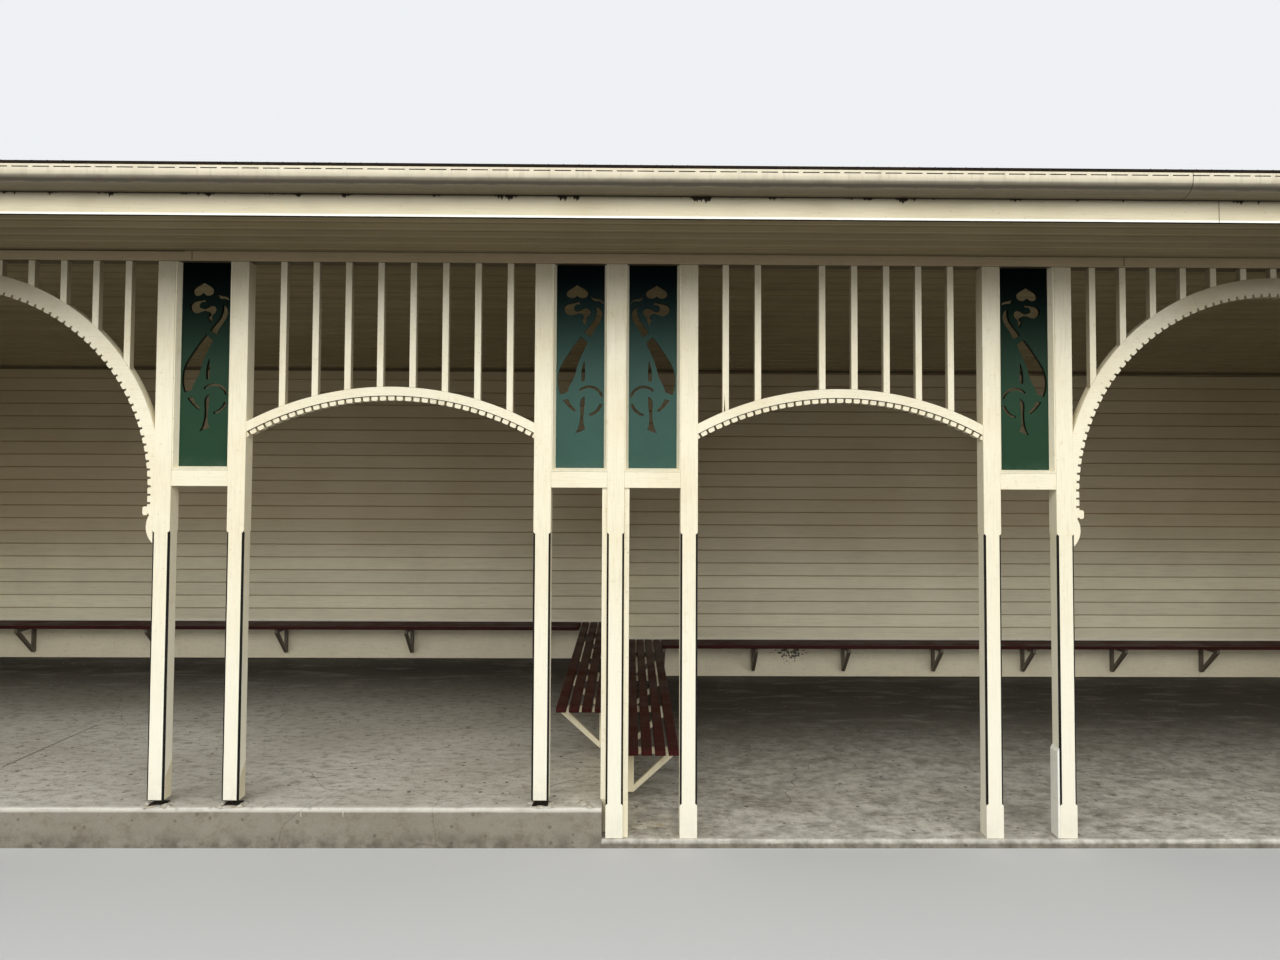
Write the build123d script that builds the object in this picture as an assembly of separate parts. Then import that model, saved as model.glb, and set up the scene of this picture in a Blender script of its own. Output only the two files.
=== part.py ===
from build123d import *
import os
from math import asin, atan2, ceil, cos, degrees, pi, radians, sin, sqrt, tan

# Shelter shed: an open front of paired posts, arched friezes and pierced panels, with
# boarded walls at the back and ends, a cross partition at the middle, slat benches, a
# low ridged roof and a concrete floor in two levels.
# X runs along the front, +Y runs from the open front to the back wall, Z is up.
# Millimetres. The ground at the low right-hand side is Z = 0.

# Posts and bays
POST = 100
PAIR_PITCH = 425
NARROW_CLEAR = 1662
WIDE_CLEAR = 2400
CHAMFER = 8.5
CHAMFER_RUNOUT = 12
CHAMFER_TOP = 1567
BASE_BLOCK = 185

# Heights over the left floor
HEAD_UNDER = 3128
RAIL_UNDER = 1823
RAIL_HEIGHT = 92

# Floor
RIGHT_FLOOR = 50
FLOOR_STEP = 175
SLAB_LIP = 12
DEPTH = 4150

# Post shoes of the left half
SHOE_HEIGHT = 38
SHOE_PLATE = 5
SHOE_SIZE = 90
SHOE_STEM = 24

# Rails, beads and pierced boards of the panels
RAIL_THICK = 75
RAIL_SETBACK = 2
BEAD = 22
BEAD_LIP = 6
BEAD_DEPTH = 38
BEAD_SETBACK = 5
PANEL_THICK = 25
SCROLL_FOOT = 47

# Arches
ARCH_SETBACK = 3
ARCH_THICK = 65
FIT = 0.3
DENTIL_PITCH = 48
DENTIL_GAP = 13
DENTIL_EASE = 5
FLAT_RISE = 206
FLAT_CROWN = 2403
FLAT_FACE = 51
FLAT_DENTIL = 28
FLAT_DENTIL_SETBACK = 8
FLAT_PIECES = 4
WIDE_LAP = 40
WIDE_OUTER = WIDE_CLEAR / 2 + WIDE_LAP
WIDE_LEG = 34
WIDE_INNER = WIDE_CLEAR / 2 - WIDE_LEG
WIDE_CROWN = 110
WIDE_NOTCH = 18
CROWN_CLEAR = 56
WIDE_CENTRE = HEAD_UNDER - CROWN_CLEAR - WIDE_OUTER
INNER_CENTRE = HEAD_UNDER - CROWN_CLEAR - WIDE_CROWN - WIDE_INNER
WIDE_PIECES = 8
DROP_LEG = 91
DROP_KNOB = 50
DROP_KNOB_EASE = 12
DROP_REACH = 60
DROP_TAIL = 160
DROP_BELLY = 39
DROP_BELLY_DOWN = 60
DROP_NECK = 21
DROP_NOTCH = 8

# Spindles
SPINDLE = 38
SPINDLE_DEPTH = 42
NARROW_SPACING = 188
NARROW_SHIFT_LEFT = 29
NARROW_SHIFT_RIGHT = -12
WIDE_SPACING_LEFT = 187
WIDE_SPACING_RIGHT = 179
MISSING_SPINDLE = 3
SPLIT_SPINDLE = 1
SPLIT_EDGE = 9
SPLIT_WIDE = 7
SPLIT_HEIGHT = 90

# Walls, partition and linings
WALL = 120
END_TRIM = 29
END_TRIM_SETBACK = 15
END_TRIM_FOOT = 40
PARTITION = 140
LINING = 12
SCOTIA = 32
CEILING_FALL = 179
CEILING_BACK = HEAD_UNDER - CEILING_FALL

# Benches
SEAT = 375
SLAT = 66
SLAT_GAP = 18
SLAT_THICK = 32
SLATS = 4
WALL_GAP = 6
LEFT_SIDE_START = 735
RIGHT_SIDE_START = 400
BRACKET_THICK = 28
BRACKET_BEARER = 40
BRACKET_LEG = 45
BRACKET_STRUT = 42
BRACKET_RAKE = 59
BRACKET_FOOT = 65
BRACKET_TIP = 14
BRACKET_START_LEFT = 424
BRACKET_PITCH_LEFT = 1270
BRACKET_START_RIGHT = 0
BRACKET_PITCH_RIGHT = 918
SIDE_BRACKETS = 4
BRACKET_END = 190

# Eaves and roof
PITCH = 10
TRIM_HEIGHT = 55
TRIM_THICK = 20
EAVE = 804
BACK_EAVE = 300
VERGE = 250
SOFFIT_VOID = 98
FASCIA = 25
FASCIA_DROP = 12
GUTTER_WIDTH = 120
GUTTER_HEIGHT = 115
GUTTER_THICK = 2
GUTTER_DROP = 42
GUTTER_BED = 45
GUTTER_BELLY = 71
RAFTER = 90
RAFTER_THICK = 50
RAFTER_PITCH = 900
RIDGE_BOARD = 25
BATTEN_WIDE = 50
BATTEN = 35
BATTEN_PITCH = 860
ROOF_SHEET = 18
SHEET_NOSE = 45
CAP_WING = 150
CAP_THICK = 3
CAP_ROLL = 22
BARGE = 25
BARGE_HEIGHT = 190

# Derived heights
LEFT_FLOOR = RIGHT_FLOOR + FLOOR_STEP
HEAD = LEFT_FLOOR + HEAD_UNDER
RAIL_TOP = LEFT_FLOOR + RAIL_UNDER + RAIL_HEIGHT
SOFFIT = HEAD + TRIM_HEIGHT
SLOPE = tan(radians(PITCH))
PLUMB = 1 / cos(radians(PITCH))

# Derived places along Y: the box of the whole shed is centred on Y = 0
GUTTER_REACH = FASCIA + GUTTER_WIDTH
TOTAL_DEPTH = GUTTER_REACH + EAVE + DEPTH + WALL + BACK_EAVE + GUTTER_REACH
FRONT = GUTTER_REACH + EAVE - TOTAL_DEPTH / 2
BACK = FRONT + DEPTH
OUTER = BACK + WALL
FRONT_FASCIA = FRONT - EAVE
BACK_FASCIA = OUTER + BACK_EAVE

# Derived places along X, of the right-hand half
CENTRES = [PAIR_PITCH]
for step in (POST + NARROW_CLEAR, PAIR_PITCH, POST + WIDE_CLEAR, PAIR_PITCH, POST + NARROW_CLEAR, PAIR_PITCH):
    CENTRES.append(CENTRES[-1] + step)
HALF = CENTRES[-1] + POST / 2
INNER = HALF - WALL
ROOF_HALF = HALF + VERGE
SLAB_STEP_X = -(PARTITION / 2 + 1)
BAYS = [(CENTRES[i] + CENTRES[i + 1]) / 2 for i in (0, 2, 4)]
PAIRS = [PAIR_PITCH / 2] + [(CENTRES[i] + CENTRES[i + 1]) / 2 for i in (1, 3, 5)]
PAIR_CLEAR = PAIR_PITCH - POST
BENCH = SLATS * SLAT + (SLATS - 1) * SLAT_GAP

# The roof's two slopes: heights of the rafters' undersides
RISE_FRONT = SOFFIT + LINING + SOFFIT_VOID
RISE_BACK = LEFT_FLOOR + CEILING_BACK + LINING
RIDGE = (RISE_BACK - RISE_FRONT + (BACK + FRONT_FASCIA) * SLOPE) / (2 * SLOPE)


def under(y):
    """Height of the rafters' underside at y."""
    return min(RISE_FRONT + (y - FRONT_FASCIA) * SLOPE, RISE_BACK + (BACK - y) * SLOPE)


RAFTER_TOP = RAFTER * PLUMB
BATTEN_TOP = RAFTER_TOP + BATTEN * PLUMB
SHEET_TOP = BATTEN_TOP + ROOF_SHEET * PLUMB
CEILING_DROP = LINING * PLUMB
HEAD_TOP = under(FRONT + POST)
WALL_TOP = RISE_BACK
BACK_SOFFIT = under(BACK_FASCIA) - LINING

PARTS = {}


def keep(name, *solids):
    """Hold the solids of one named piece."""
    PARTS.setdefault(name, []).extend(solids)


def block(x0, x1, y0, y1, z0, z1):
    """A plain box between two corners."""
    return Pos((x0 + x1) / 2, (y0 + y1) / 2, (z0 + z1) / 2) * Box(x1 - x0, y1 - y0, z1 - z0)


def upright(profile, y, depth):
    """A profile drawn in X and Z, given depth from y towards the back."""
    return Pos(0, y + depth, 0) * extrude(Plane.XZ * profile, depth)


def lengthwise(points, x0, x1):
    """A profile of (y, z) points drawn out along X."""
    profile = make_face(Polyline(*points, close=True))
    return Pos(x0, 0, 0) * extrude(Plane.YZ * profile, x1 - x0)


def mirrored(shape):
    """The same piece in the other half."""
    return mirror(shape, about=Plane.YZ)


def chamfer_tools(x, low, high):
    """Cutters for the stopped chamfers on a post's four edges."""
    inner = POST / sqrt(2) - CHAMFER / sqrt(2)
    outer = inner + CHAMFER
    run = CHAMFER_RUNOUT
    section = make_face(
        Polyline((inner, low + run), (inner, high - run), (outer, high), (outer, low), close=True)
    )
    tool = upright(section, -POST / 4, POST / 2)
    return [Pos(x, FRONT + POST / 2, 0) * Rot(0, 0, 45 + 90 * k) * tool for k in range(4)]


def post(x, foot, chamfer_foot):
    """A square post with stopped chamfers, from its foot to the head beam."""
    shaft = block(x - POST / 2, x + POST / 2, FRONT, FRONT + POST, foot, HEAD)
    return shaft - chamfer_tools(x, chamfer_foot, LEFT_FLOOR + CHAMFER_TOP)


def posts():
    """Left posts stand on shoes, right ones and the middle one on the low floor."""
    raised = LEFT_FLOOR + SHOE_HEIGHT
    for x in CENTRES:
        keep("left_posts", post(-x, raised, raised - POST))
        keep("right_posts", post(x, RIGHT_FLOOR, RIGHT_FLOOR + BASE_BLOCK))
        keep("post_shoes", shoe(-x))
    keep("centre_post", post(0, RIGHT_FLOOR, RIGHT_FLOOR + BASE_BLOCK))


def shoe(x):
    """A steel stirrup: base plate, stem and seat plate."""
    y = FRONT + POST / 2
    base = Pos(x, y, LEFT_FLOOR + SHOE_PLATE / 2) * Box(SHOE_SIZE, SHOE_SIZE, SHOE_PLATE)
    seat = Pos(0, 0, SHOE_HEIGHT - SHOE_PLATE) * base
    stem = Pos(x, y, LEFT_FLOOR + SHOE_HEIGHT / 2) * Cylinder(SHOE_STEM / 2, SHOE_HEIGHT - SHOE_PLATE)
    return base + stem + seat


def floors():
    """Two slabs that meet beside the centre post."""
    edge = HALF + SLAB_LIP
    front = FRONT - SLAB_LIP
    back = OUTER + SLAB_LIP
    keep("floor_slab_left", block(-edge, SLAB_STEP_X, front, back, 0, LEFT_FLOOR))
    keep("floor_slab_right", block(SLAB_STEP_X, edge, front, back, 0, RIGHT_FLOOR))


def scroll_outlines():
    """Outlines of the pierced work: a bud over a long bent stem and a broken ring.

    Each is drawn from the middle of the board and SCROLL_FOOT over its foot.
    """
    bud = [(-23, 1054), (13, 1032), (42, 1001), (33, 980), (10, 972), (-21, 988), (-54, 972), (-77, 982),
           (-83, 1003), (-62, 1028)]
    leaf_top = [(54, 993), (76, 975), (110, 969), (131, 948)]
    leaf_under = [(129, 936), (110, 954), (86, 956), (66, 968)]
    curl_back = [(-5, 934), (-14, 950), (-30, 947), (-69, 940), (-91, 925), (-96, 904), (-85, 882), (-61, 870),
                 (-30, 876), (0, 883), (18, 871), (5, 847)]
    curl_tail = [(5, 847), (17, 828), (19, 812)]
    curl_front = [(19, 812), (33, 833), (36, 855), (53, 874), (58, 894), (46, 911), (29, 916), (4, 906),
                  (-18, 896), (-38, 904), (-38, 922), (-17, 936), (-5, 934)]
    neck_left = [(23, 767), (58, 816), (83, 853), (93, 890), (94, 921)]
    neck_right = [(94, 921), (117, 904), (125, 880), (120, 849), (94, 804), (64, 744)]
    stem_left = [(2, 744), (-30, 705), (-62, 658), (-102, 595), (-119, 560), (-132, 494), (-128, 443), (-115, 404)]
    stem_right = [(-72, 420), (-68, 443), (-53, 474), (-33, 513), (-21, 560), (3, 627), (23, 670), (41, 711)]
    spike = [(24, 605), (12, 572), (6, 525), (8, 480)]
    ring_top = [(-8, 431), (54, 459), (134, 396)]
    ring_top_in = [(120, 390), (54, 443), (3, 422)]
    ring_left = [(-100, 373), (-77, 342), (-32, 302)]
    ring_left_in = [(-25, 317), (-52, 345), (-68, 379)]
    ring_right = [(131, 350), (106, 305), (57, 279)]
    ring_right_in = [(51, 292), (88, 312), (112, 350)]
    foot_left = [(26, 394), (4, 373), (1, 322), (-2, 244), (-10, 213), (-26, 177)]
    foot_right = [(33, 201), (23, 228), (22, 302), (26, 394)]

    def curve(points):
        return ThreePointArc(*points) if len(points) == 3 else Spline(*points)

    def closed(*runs):
        edges = [curve(run) for run in runs]
        joined = []
        for this, after in zip(edges, edges[1:] + edges[:1]):
            joined.append(this)
            if (this @ 1 - after @ 0).length > 0.01:
                joined.append(Line(this @ 1, after @ 0))
        return make_face(joined)

    tip, notch = bud[0], bud[5]
    return [
        closed([tip] + bud[1:6], [notch] + bud[6:] + [tip]),
        closed(leaf_top, leaf_under),
        closed(curl_back, curl_tail, curl_front),
        closed(neck_left, neck_right),
        closed(stem_left, stem_right),
        closed(spike, [(26, 486), (28, 545), (24, 605)]),
        closed(ring_top, ring_top_in),
        closed(ring_left, ring_left_in),
        closed(ring_right, ring_right_in),
        closed(foot_left, foot_right),
    ]


def fretwork():
    """Eight pierced boards; the right-hand ones are mirrored."""
    height = HEAD - RAIL_TOP
    board = Pos(0, RAIL_TOP + height / 2) * Rectangle(PAIR_CLEAR, height)
    for outline in scroll_outlines():
        board -= Pos(0, RAIL_TOP + SCROLL_FOOT) * outline
    panel = upright(board, FRONT + BEAD_SETBACK + BEAD_DEPTH, PANEL_THICK)
    for number, x in enumerate(reversed(PAIRS), 1):
        keep(f"fretwork_{number}", Pos(-x, 0, 0) * panel)
    for number, x in enumerate(PAIRS, len(PAIRS) + 1):
        keep(f"fretwork_{number}", Pos(x, 0, 0) * mirrored(panel))


def panel_frames():
    """A rail under each panel and a splayed bead up its sides and along its foot."""
    height = HEAD - RAIL_TOP
    outer = Pos(0, RAIL_TOP + height / 2) * Rectangle(PAIR_CLEAR, height)
    inner = Pos(0, RAIL_TOP + BEAD + height / 2) * Rectangle(PAIR_CLEAR - 2 * BEAD, height)
    splay = degrees(atan2(BEAD - BEAD_LIP, BEAD_DEPTH))
    opening = extrude(Plane.XZ * inner, BEAD_DEPTH, taper=-splay)
    bead = upright(outer, FRONT + BEAD_SETBACK, BEAD_DEPTH) - Pos(0, FRONT + BEAD_SETBACK + BEAD_DEPTH, 0) * opening
    for x in [-x for x in reversed(PAIRS)] + PAIRS:
        left, right = x - PAIR_CLEAR / 2, x + PAIR_CLEAR / 2
        front = FRONT + RAIL_SETBACK
        keep("panel_rails", block(left, right, front, front + RAIL_THICK, RAIL_TOP - RAIL_HEIGHT, RAIL_TOP))
        keep("panel_beads", Pos(x, 0, 0) * bead)


def ring_piece(inner, outer, start, end):
    """A flat piece of a ring between two radii and two angles."""

    def at(radius, angle):
        return (radius * cos(angle), radius * sin(angle))

    middle = (start + end) / 2
    over = ThreePointArc(at(outer, start), at(outer, middle), at(outer, end))
    below = ThreePointArc(at(inner, end), at(inner, middle), at(inner, start))
    return make_face([over, Line(over @ 1, below @ 0), below, Line(below @ 1, over @ 0)])


def radial_slots(inner, depth, count, start, end):
    """Slots across a ring's inner edge with eased mouths, evenly spaced from start to end."""
    mouth = (DENTIL_GAP / 2 + DENTIL_EASE) * sqrt(2)
    slots = []
    for k in range(count):
        angle = start + (end - start) * (k + 0.5) / count
        turned = Rot(0, 0, angle * 180 / pi)
        slots.append(turned * Pos(inner + depth / 2, 0) * Rectangle(depth, DENTIL_GAP))
        slots.append(turned * Pos(inner, 0) * Rot(0, 0, 45) * Rectangle(mouth, mouth))
    return slots


def flat_arch(x):
    """A segmental arch in pieces, with a row of dentils under its face."""
    half = NARROW_CLEAR / 2
    outer = (half**2 + FLAT_RISE**2) / (2 * FLAT_RISE)
    face_in = outer - FLAT_FACE
    inner = face_in - FLAT_DENTIL
    reach = asin(half / inner)
    count = round(2 * reach * inner / DENTIL_PITCH)
    slots = radial_slots(inner, FLAT_DENTIL, count, pi / 2 - reach, pi / 2 + reach)
    clear = Rectangle(NARROW_CLEAR, 4 * outer)
    shift = Pos(x, 0, LEFT_FLOOR + FLAT_CROWN - outer)
    back = FRONT + ARCH_SETBACK + ARCH_THICK
    pieces = []
    for k in range(FLAT_PIECES):
        joint = FIT / outer / 2
        start = pi / 2 - reach + 2 * reach * k / FLAT_PIECES + joint
        end = pi / 2 - reach + 2 * reach * (k + 1) / FLAT_PIECES - joint
        face = ring_piece(face_in, outer, start, end) & clear
        row = ring_piece(inner, face_in + 1, start, end) & clear
        row -= slots
        front = FRONT + ARCH_SETBACK
        solid = upright(face, front, ARCH_THICK)
        solid += upright(row, front + FLAT_DENTIL_SETBACK, back - front - FLAT_DENTIL_SETBACK)
        pieces.append(shift * solid)
    return pieces


def drop_profile():
    """A drop under an arch's leg: a knob, a round notch and a bellied tail."""
    neck = -DROP_LEG - DROP_KNOB
    half = Pos(DROP_REACH, neck) * Rectangle(2 * DROP_REACH, 4 * DROP_KNOB)
    knob = Pos(0, neck + DROP_KNOB / 2) * RectangleRounded(2 * DROP_REACH, DROP_KNOB, DROP_KNOB_EASE)
    belly = ThreePointArc((DROP_NECK, neck), (DROP_BELLY, neck - DROP_BELLY_DOWN), (0, neck - DROP_TAIL))
    tail = make_face([belly, Polyline((0, neck - DROP_TAIL), (0, neck), (DROP_NECK, neck))])
    notch = Pos(DROP_NECK + DROP_NOTCH, neck) * Circle(DROP_NOTCH)
    return (knob & half) + tail - notch


def wide_arch(x):
    """A semicircular arch in pieces with a notched edge, its legs and its drops."""
    half = WIDE_CLEAR / 2
    rise = WIDE_CENTRE - INNER_CENTRE
    count = round(pi * WIDE_INNER / DENTIL_PITCH)
    slots = radial_slots(WIDE_INNER, WIDE_NOTCH, count, 0, pi)
    clear = Rectangle(WIDE_CLEAR, 4 * WIDE_OUTER)
    disc = Pos(0, rise) * Circle(WIDE_OUTER)
    front = FRONT + ARCH_SETBACK
    shift = Pos(x, 0, LEFT_FLOOR + INNER_CENTRE)
    pieces = []
    for k in range(WIDE_PIECES):
        joint = FIT / WIDE_OUTER / 2
        start = pi * k / WIDE_PIECES + joint
        end = pi * (k + 1) / WIDE_PIECES - joint
        profile = (ring_piece(WIDE_INNER, WIDE_OUTER + rise + FIT, start, end) & disc & clear) - slots
        pieces.append(shift * upright(profile, front, ARCH_THICK))
    leg = Pos(WIDE_LEG / 2, -DROP_LEG / 2) * Rectangle(WIDE_LEG, DROP_LEG)
    for k in range(round(DROP_LEG / DENTIL_PITCH)):
        leg -= Pos(WIDE_LEG, -(k + 0.5) * DENTIL_PITCH) * Rectangle(2 * WIDE_NOTCH, DENTIL_GAP)
    foot = Pos(-half, 0, 0) * upright(leg + drop_profile(), front, ARCH_THICK)
    pieces += [shift * foot, shift * mirrored(foot)]
    return pieces


def arches():
    """Flat, wide and flat arch in each half."""
    first, middle, last = BAYS
    for number, x in enumerate((-last, -first, first, last), 1):
        keep(f"flat_arch_{number}", *flat_arch(x))
    keep("wide_arch_left", *wide_arch(-middle))
    keep("wide_arch_right", *wide_arch(middle))


def split(left, foot):
    """The outline of a crack that opens towards a spindle's foot."""
    near, far = left + SPLIT_EDGE, left + SPLIT_EDGE + SPLIT_WIDE
    return make_face(Polyline((near, foot), (far, foot), ((near + far) / 2, foot + SPLIT_HEIGHT), close=True))


def spindle_row(x, clear, spacing, shift, crown, outer, missing=None, cracked=None):
    """Square spindles from an arch's back up to the head beam."""
    found = []
    centre = LEFT_FLOOR + crown - outer
    count = int((clear - SPINDLE) / spacing)
    for k in range(1, count + 1):
        if k == missing:
            continue
        offset = (k - (count + 1) / 2) * spacing + shift
        left, right = offset - SPINDLE / 2, offset + SPINDLE / 2
        seat = [(x0, centre + sqrt((outer + FIT) ** 2 - x0**2)) for x0 in (left, offset, right)]
        profile = make_face([ThreePointArc(*seat), Polyline(seat[2], (right, HEAD), (left, HEAD), seat[0])])
        if k == cracked:
            profile -= split(left, seat[0][1] - SPINDLE / 4)
        found.append(Pos(x, 0, 0) * upright(profile, FRONT + ARCH_SETBACK, SPINDLE_DEPTH))
    return found


def spindles():
    """In the narrow bay right of the middle one spindle is lost and another is split."""
    first, middle, last = BAYS
    outer = ((NARROW_CLEAR / 2) ** 2 + FLAT_RISE**2) / (2 * FLAT_RISE)
    crown = WIDE_CENTRE + WIDE_OUTER
    for side, name, shift, wide_spacing in (
        (-1, "spindles_left", NARROW_SHIFT_LEFT, WIDE_SPACING_LEFT),
        (1, "spindles_right", NARROW_SHIFT_RIGHT, WIDE_SPACING_RIGHT),
    ):
        worn = (MISSING_SPINDLE, SPLIT_SPINDLE) if side > 0 else ()
        keep(name, *spindle_row(side * first, NARROW_CLEAR, NARROW_SPACING, shift, FLAT_CROWN, outer, *worn))
        keep(name, *spindle_row(side * last, NARROW_CLEAR, NARROW_SPACING, 0, FLAT_CROWN, outer))
        keep(name, *spindle_row(side * middle, WIDE_CLEAR, wide_spacing, 0, crown, WIDE_OUTER))


def walls():
    """Back wall on each floor level, and end walls up to the rafters."""
    keep("back_wall_left", block(-INNER, SLAB_STEP_X, BACK, OUTER, LEFT_FLOOR, WALL_TOP))
    keep("back_wall_right", block(SLAB_STEP_X, INNER, BACK, OUTER, RIGHT_FLOOR, WALL_TOP))
    start = FRONT + POST
    for name, x0, foot in (("end_wall_left", -HALF, LEFT_FLOOR), ("end_wall_right", INNER, RIGHT_FLOOR)):
        outline = [(start, foot), (OUTER, foot), (OUTER, under(OUTER)), (RIDGE, under(RIDGE)), (start, under(start))]
        keep(name, lengthwise(outline, x0, x0 + WALL))


def partition():
    """Lined wall behind the centre post, with a trim on each side of the post."""
    start = FRONT + POST
    top = [(BACK, under(BACK) - CEILING_DROP), (RIDGE, under(RIDGE) - CEILING_DROP),
           (start, under(start) - CEILING_DROP)]
    outline = [(start, RIGHT_FLOOR), (BACK, RIGHT_FLOOR)] + top
    keep("partition_wall", lengthwise(outline, SLAB_STEP_X + 1, PARTITION / 2))
    near, far = FRONT + END_TRIM_SETBACK, start
    side = POST / 2
    top = RAIL_TOP - RAIL_HEIGHT
    keep(
        "partition_trims",
        block(-side - END_TRIM, -side, near, far, LEFT_FLOOR + END_TRIM_FOOT, top),
        block(side, side + END_TRIM, near, far, RIGHT_FLOOR, top),
    )


def ceiling():
    """Sloping linings under the rafters, and a small moulding along the back wall."""
    start = FRONT + POST
    for near, far in ((start, RIDGE), (RIDGE, BACK)):
        top = [(far, under(far)), (near, under(near))]
        bottom = [(near, under(near) - CEILING_DROP), (far, under(far) - CEILING_DROP)]
        keep("ceiling", lengthwise(bottom + top, -INNER, INNER))
    top = under(BACK) - CEILING_DROP
    foot = top - SCOTIA
    outline = [(BACK, top), (BACK, foot), (BACK - SCOTIA, top + SCOTIA * SLOPE)]
    half_wall = PARTITION / 2
    keep("scotia", lengthwise(outline, -INNER, -half_wall), lengthwise(outline, half_wall, INNER))


def sides():
    """Each half: its sign, its floor, where its side bench starts, and its back brackets."""
    return (
        (-1, LEFT_FLOOR, LEFT_SIDE_START, BRACKET_START_LEFT, BRACKET_PITCH_LEFT),
        (1, RIGHT_FLOOR, RIGHT_SIDE_START, BRACKET_START_RIGHT, BRACKET_PITCH_RIGHT),
    )


def bracket(floor):
    """A wall bracket drawn with its wall at x = 0, reaching towards +x."""
    top = floor + SEAT - SLAT_THICK
    reach = BENCH + WALL_GAP - BRACKET_TIP
    bearer = Pos(reach / 2, top - BRACKET_BEARER / 2) * Rectangle(reach, BRACKET_BEARER)
    foot = floor + BRACKET_FOOT
    leg = Pos(BRACKET_LEG / 2, (foot + top) / 2) * Rectangle(BRACKET_LEG, top - foot)
    strut = make_face(
        Polyline(
            (0, foot), (BRACKET_STRUT, foot), (reach, top - BRACKET_BEARER),
            (reach - BRACKET_RAKE, top - BRACKET_BEARER), close=True,
        )
    )
    return upright(bearer + leg + strut, -BRACKET_THICK / 2, BRACKET_THICK)


def bench_slats(first, along, across, start, end, top):
    """Slats laid side by side from the wall outwards."""
    found = []
    for k in range(SLATS):
        near = first + across * (WALL_GAP + k * (SLAT + SLAT_GAP))
        far = near + across * SLAT
        low, high = min(near, far), max(near, far)
        if along == "x":
            found.append(block(start, end, low, high, top - SLAT_THICK, top))
        else:
            found.append(block(low, high, start, end, top - SLAT_THICK, top))
    return found


def benches():
    """Slat benches along the back wall and both sides of the partition."""
    wall = PARTITION / 2
    side_reach = WALL_GAP + BENCH
    for sign, floor, start, offset, pitch in sides():
        top = floor + SEAT
        near = FRONT + start
        keep("partition_benches", *bench_slats(sign * wall, "y", sign, near, BACK - WALL_GAP, top))
        inside = wall + side_reach + SLAT_GAP
        ends = sorted((sign * inside, sign * (INNER - WALL_GAP)))
        keep("back_benches", *bench_slats(BACK, "x", -1, ends[0], ends[1], top))
        piece = bracket(floor)
        if sign < 0:
            piece = mirrored(piece)
        span = BACK - side_reach - BRACKET_END - (near + BRACKET_END)
        for k in range(SIDE_BRACKETS):
            y = near + BRACKET_END + span * k / (SIDE_BRACKETS - 1)
            keep("bench_brackets", Pos(sign * wall, y, 0) * piece)
        first, last = inside + offset + BRACKET_THICK / 2, INNER - WALL_GAP - BRACKET_THICK / 2
        for k in range(int((last - first) / pitch) + 1):
            keep("bench_brackets", Pos(sign * (first + k * pitch), BACK, 0) * Rot(0, 0, -90) * bracket(floor))


def roof():
    """Rafters and battens on two slopes, sheets, ridge cap and barge boards."""
    near, far = RIDGE - RIDGE_BOARD / 2, RIDGE + RIDGE_BOARD / 2
    slopes = ((FRONT_FASCIA, near), (far, BACK_FASCIA))
    plates = [
        block(-HALF, HALF, FRONT, FRONT + POST, HEAD, HEAD_TOP),
        block(-HALF, HALF, BACK, OUTER, WALL_TOP - POST, WALL_TOP),
    ]
    spaces = round(2 * (HALF - RAFTER_THICK / 2) / RAFTER_PITCH)
    for low, high in slopes:
        outline = [(low, under(low)), (high, under(high)), (high, under(high) + RAFTER_TOP),
                   (low, under(low) + RAFTER_TOP)]
        rafter = lengthwise(outline, -RAFTER_THICK / 2, RAFTER_THICK / 2) - plates
        for k in range(spaces + 1):
            x = -HALF + RAFTER_THICK / 2 + (2 * HALF - RAFTER_THICK) * k / spaces
            keep("rafters", Pos(x, 0, 0) * rafter)
    ridge_foot, ridge_top = under(RIDGE) + LINING, under(near) + RAFTER_TOP
    keep("battens", block(-ROOF_HALF + BARGE, ROOF_HALF - BARGE, near, far, ridge_foot, ridge_top))
    for edge, top_end in ((FRONT_FASCIA, RIDGE), (BACK_FASCIA, RIDGE)):
        run = abs(top_end - edge) - BATTEN_WIDE - RIDGE_BOARD
        count = ceil(run / BATTEN_PITCH) + 1
        inward = 1 if top_end > edge else -1
        for k in range(count):
            y = edge + inward * (BATTEN_WIDE / 2 + run * k / (count - 1))
            a, b = y - BATTEN_WIDE / 2, y + BATTEN_WIDE / 2
            outline = [(a, under(a) + RAFTER_TOP), (b, under(b) + RAFTER_TOP),
                       (b, under(b) + BATTEN_TOP), (a, under(a) + BATTEN_TOP)]
            keep("battens", lengthwise(outline, -ROOF_HALF + BARGE, ROOF_HALF - BARGE))
    for name, low, high in (
        ("roof_front", FRONT_FASCIA - FASCIA - SHEET_NOSE, RIDGE),
        ("roof_back", RIDGE, BACK_FASCIA + FASCIA + SHEET_NOSE),
    ):
        outline = [(low, under(low) + BATTEN_TOP), (high, under(high) + BATTEN_TOP),
                   (high, under(high) + SHEET_TOP), (low, under(low) + SHEET_TOP)]
        keep(name, lengthwise(outline, -ROOF_HALF, ROOF_HALF))
    keep("ridge_cap", ridge_cap())
    barge_boards()


def ridge_cap():
    """A folded cap with a round roll along the top."""
    a, b = RIDGE - CAP_WING, RIDGE + CAP_WING
    peak = under(RIDGE) + SHEET_TOP
    outline = [(a, under(a) + SHEET_TOP), (RIDGE, peak), (b, under(b) + SHEET_TOP),
               (b, under(b) + SHEET_TOP + CAP_THICK), (RIDGE, peak + CAP_THICK),
               (a, under(a) + SHEET_TOP + CAP_THICK)]
    wings = lengthwise(outline, -ROOF_HALF, ROOF_HALF)
    roll = Pos(-ROOF_HALF, RIDGE, peak + CAP_ROLL) * Rot(0, 90, 0) * extrude(Circle(CAP_ROLL), 2 * ROOF_HALF)
    return wings + roll


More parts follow.
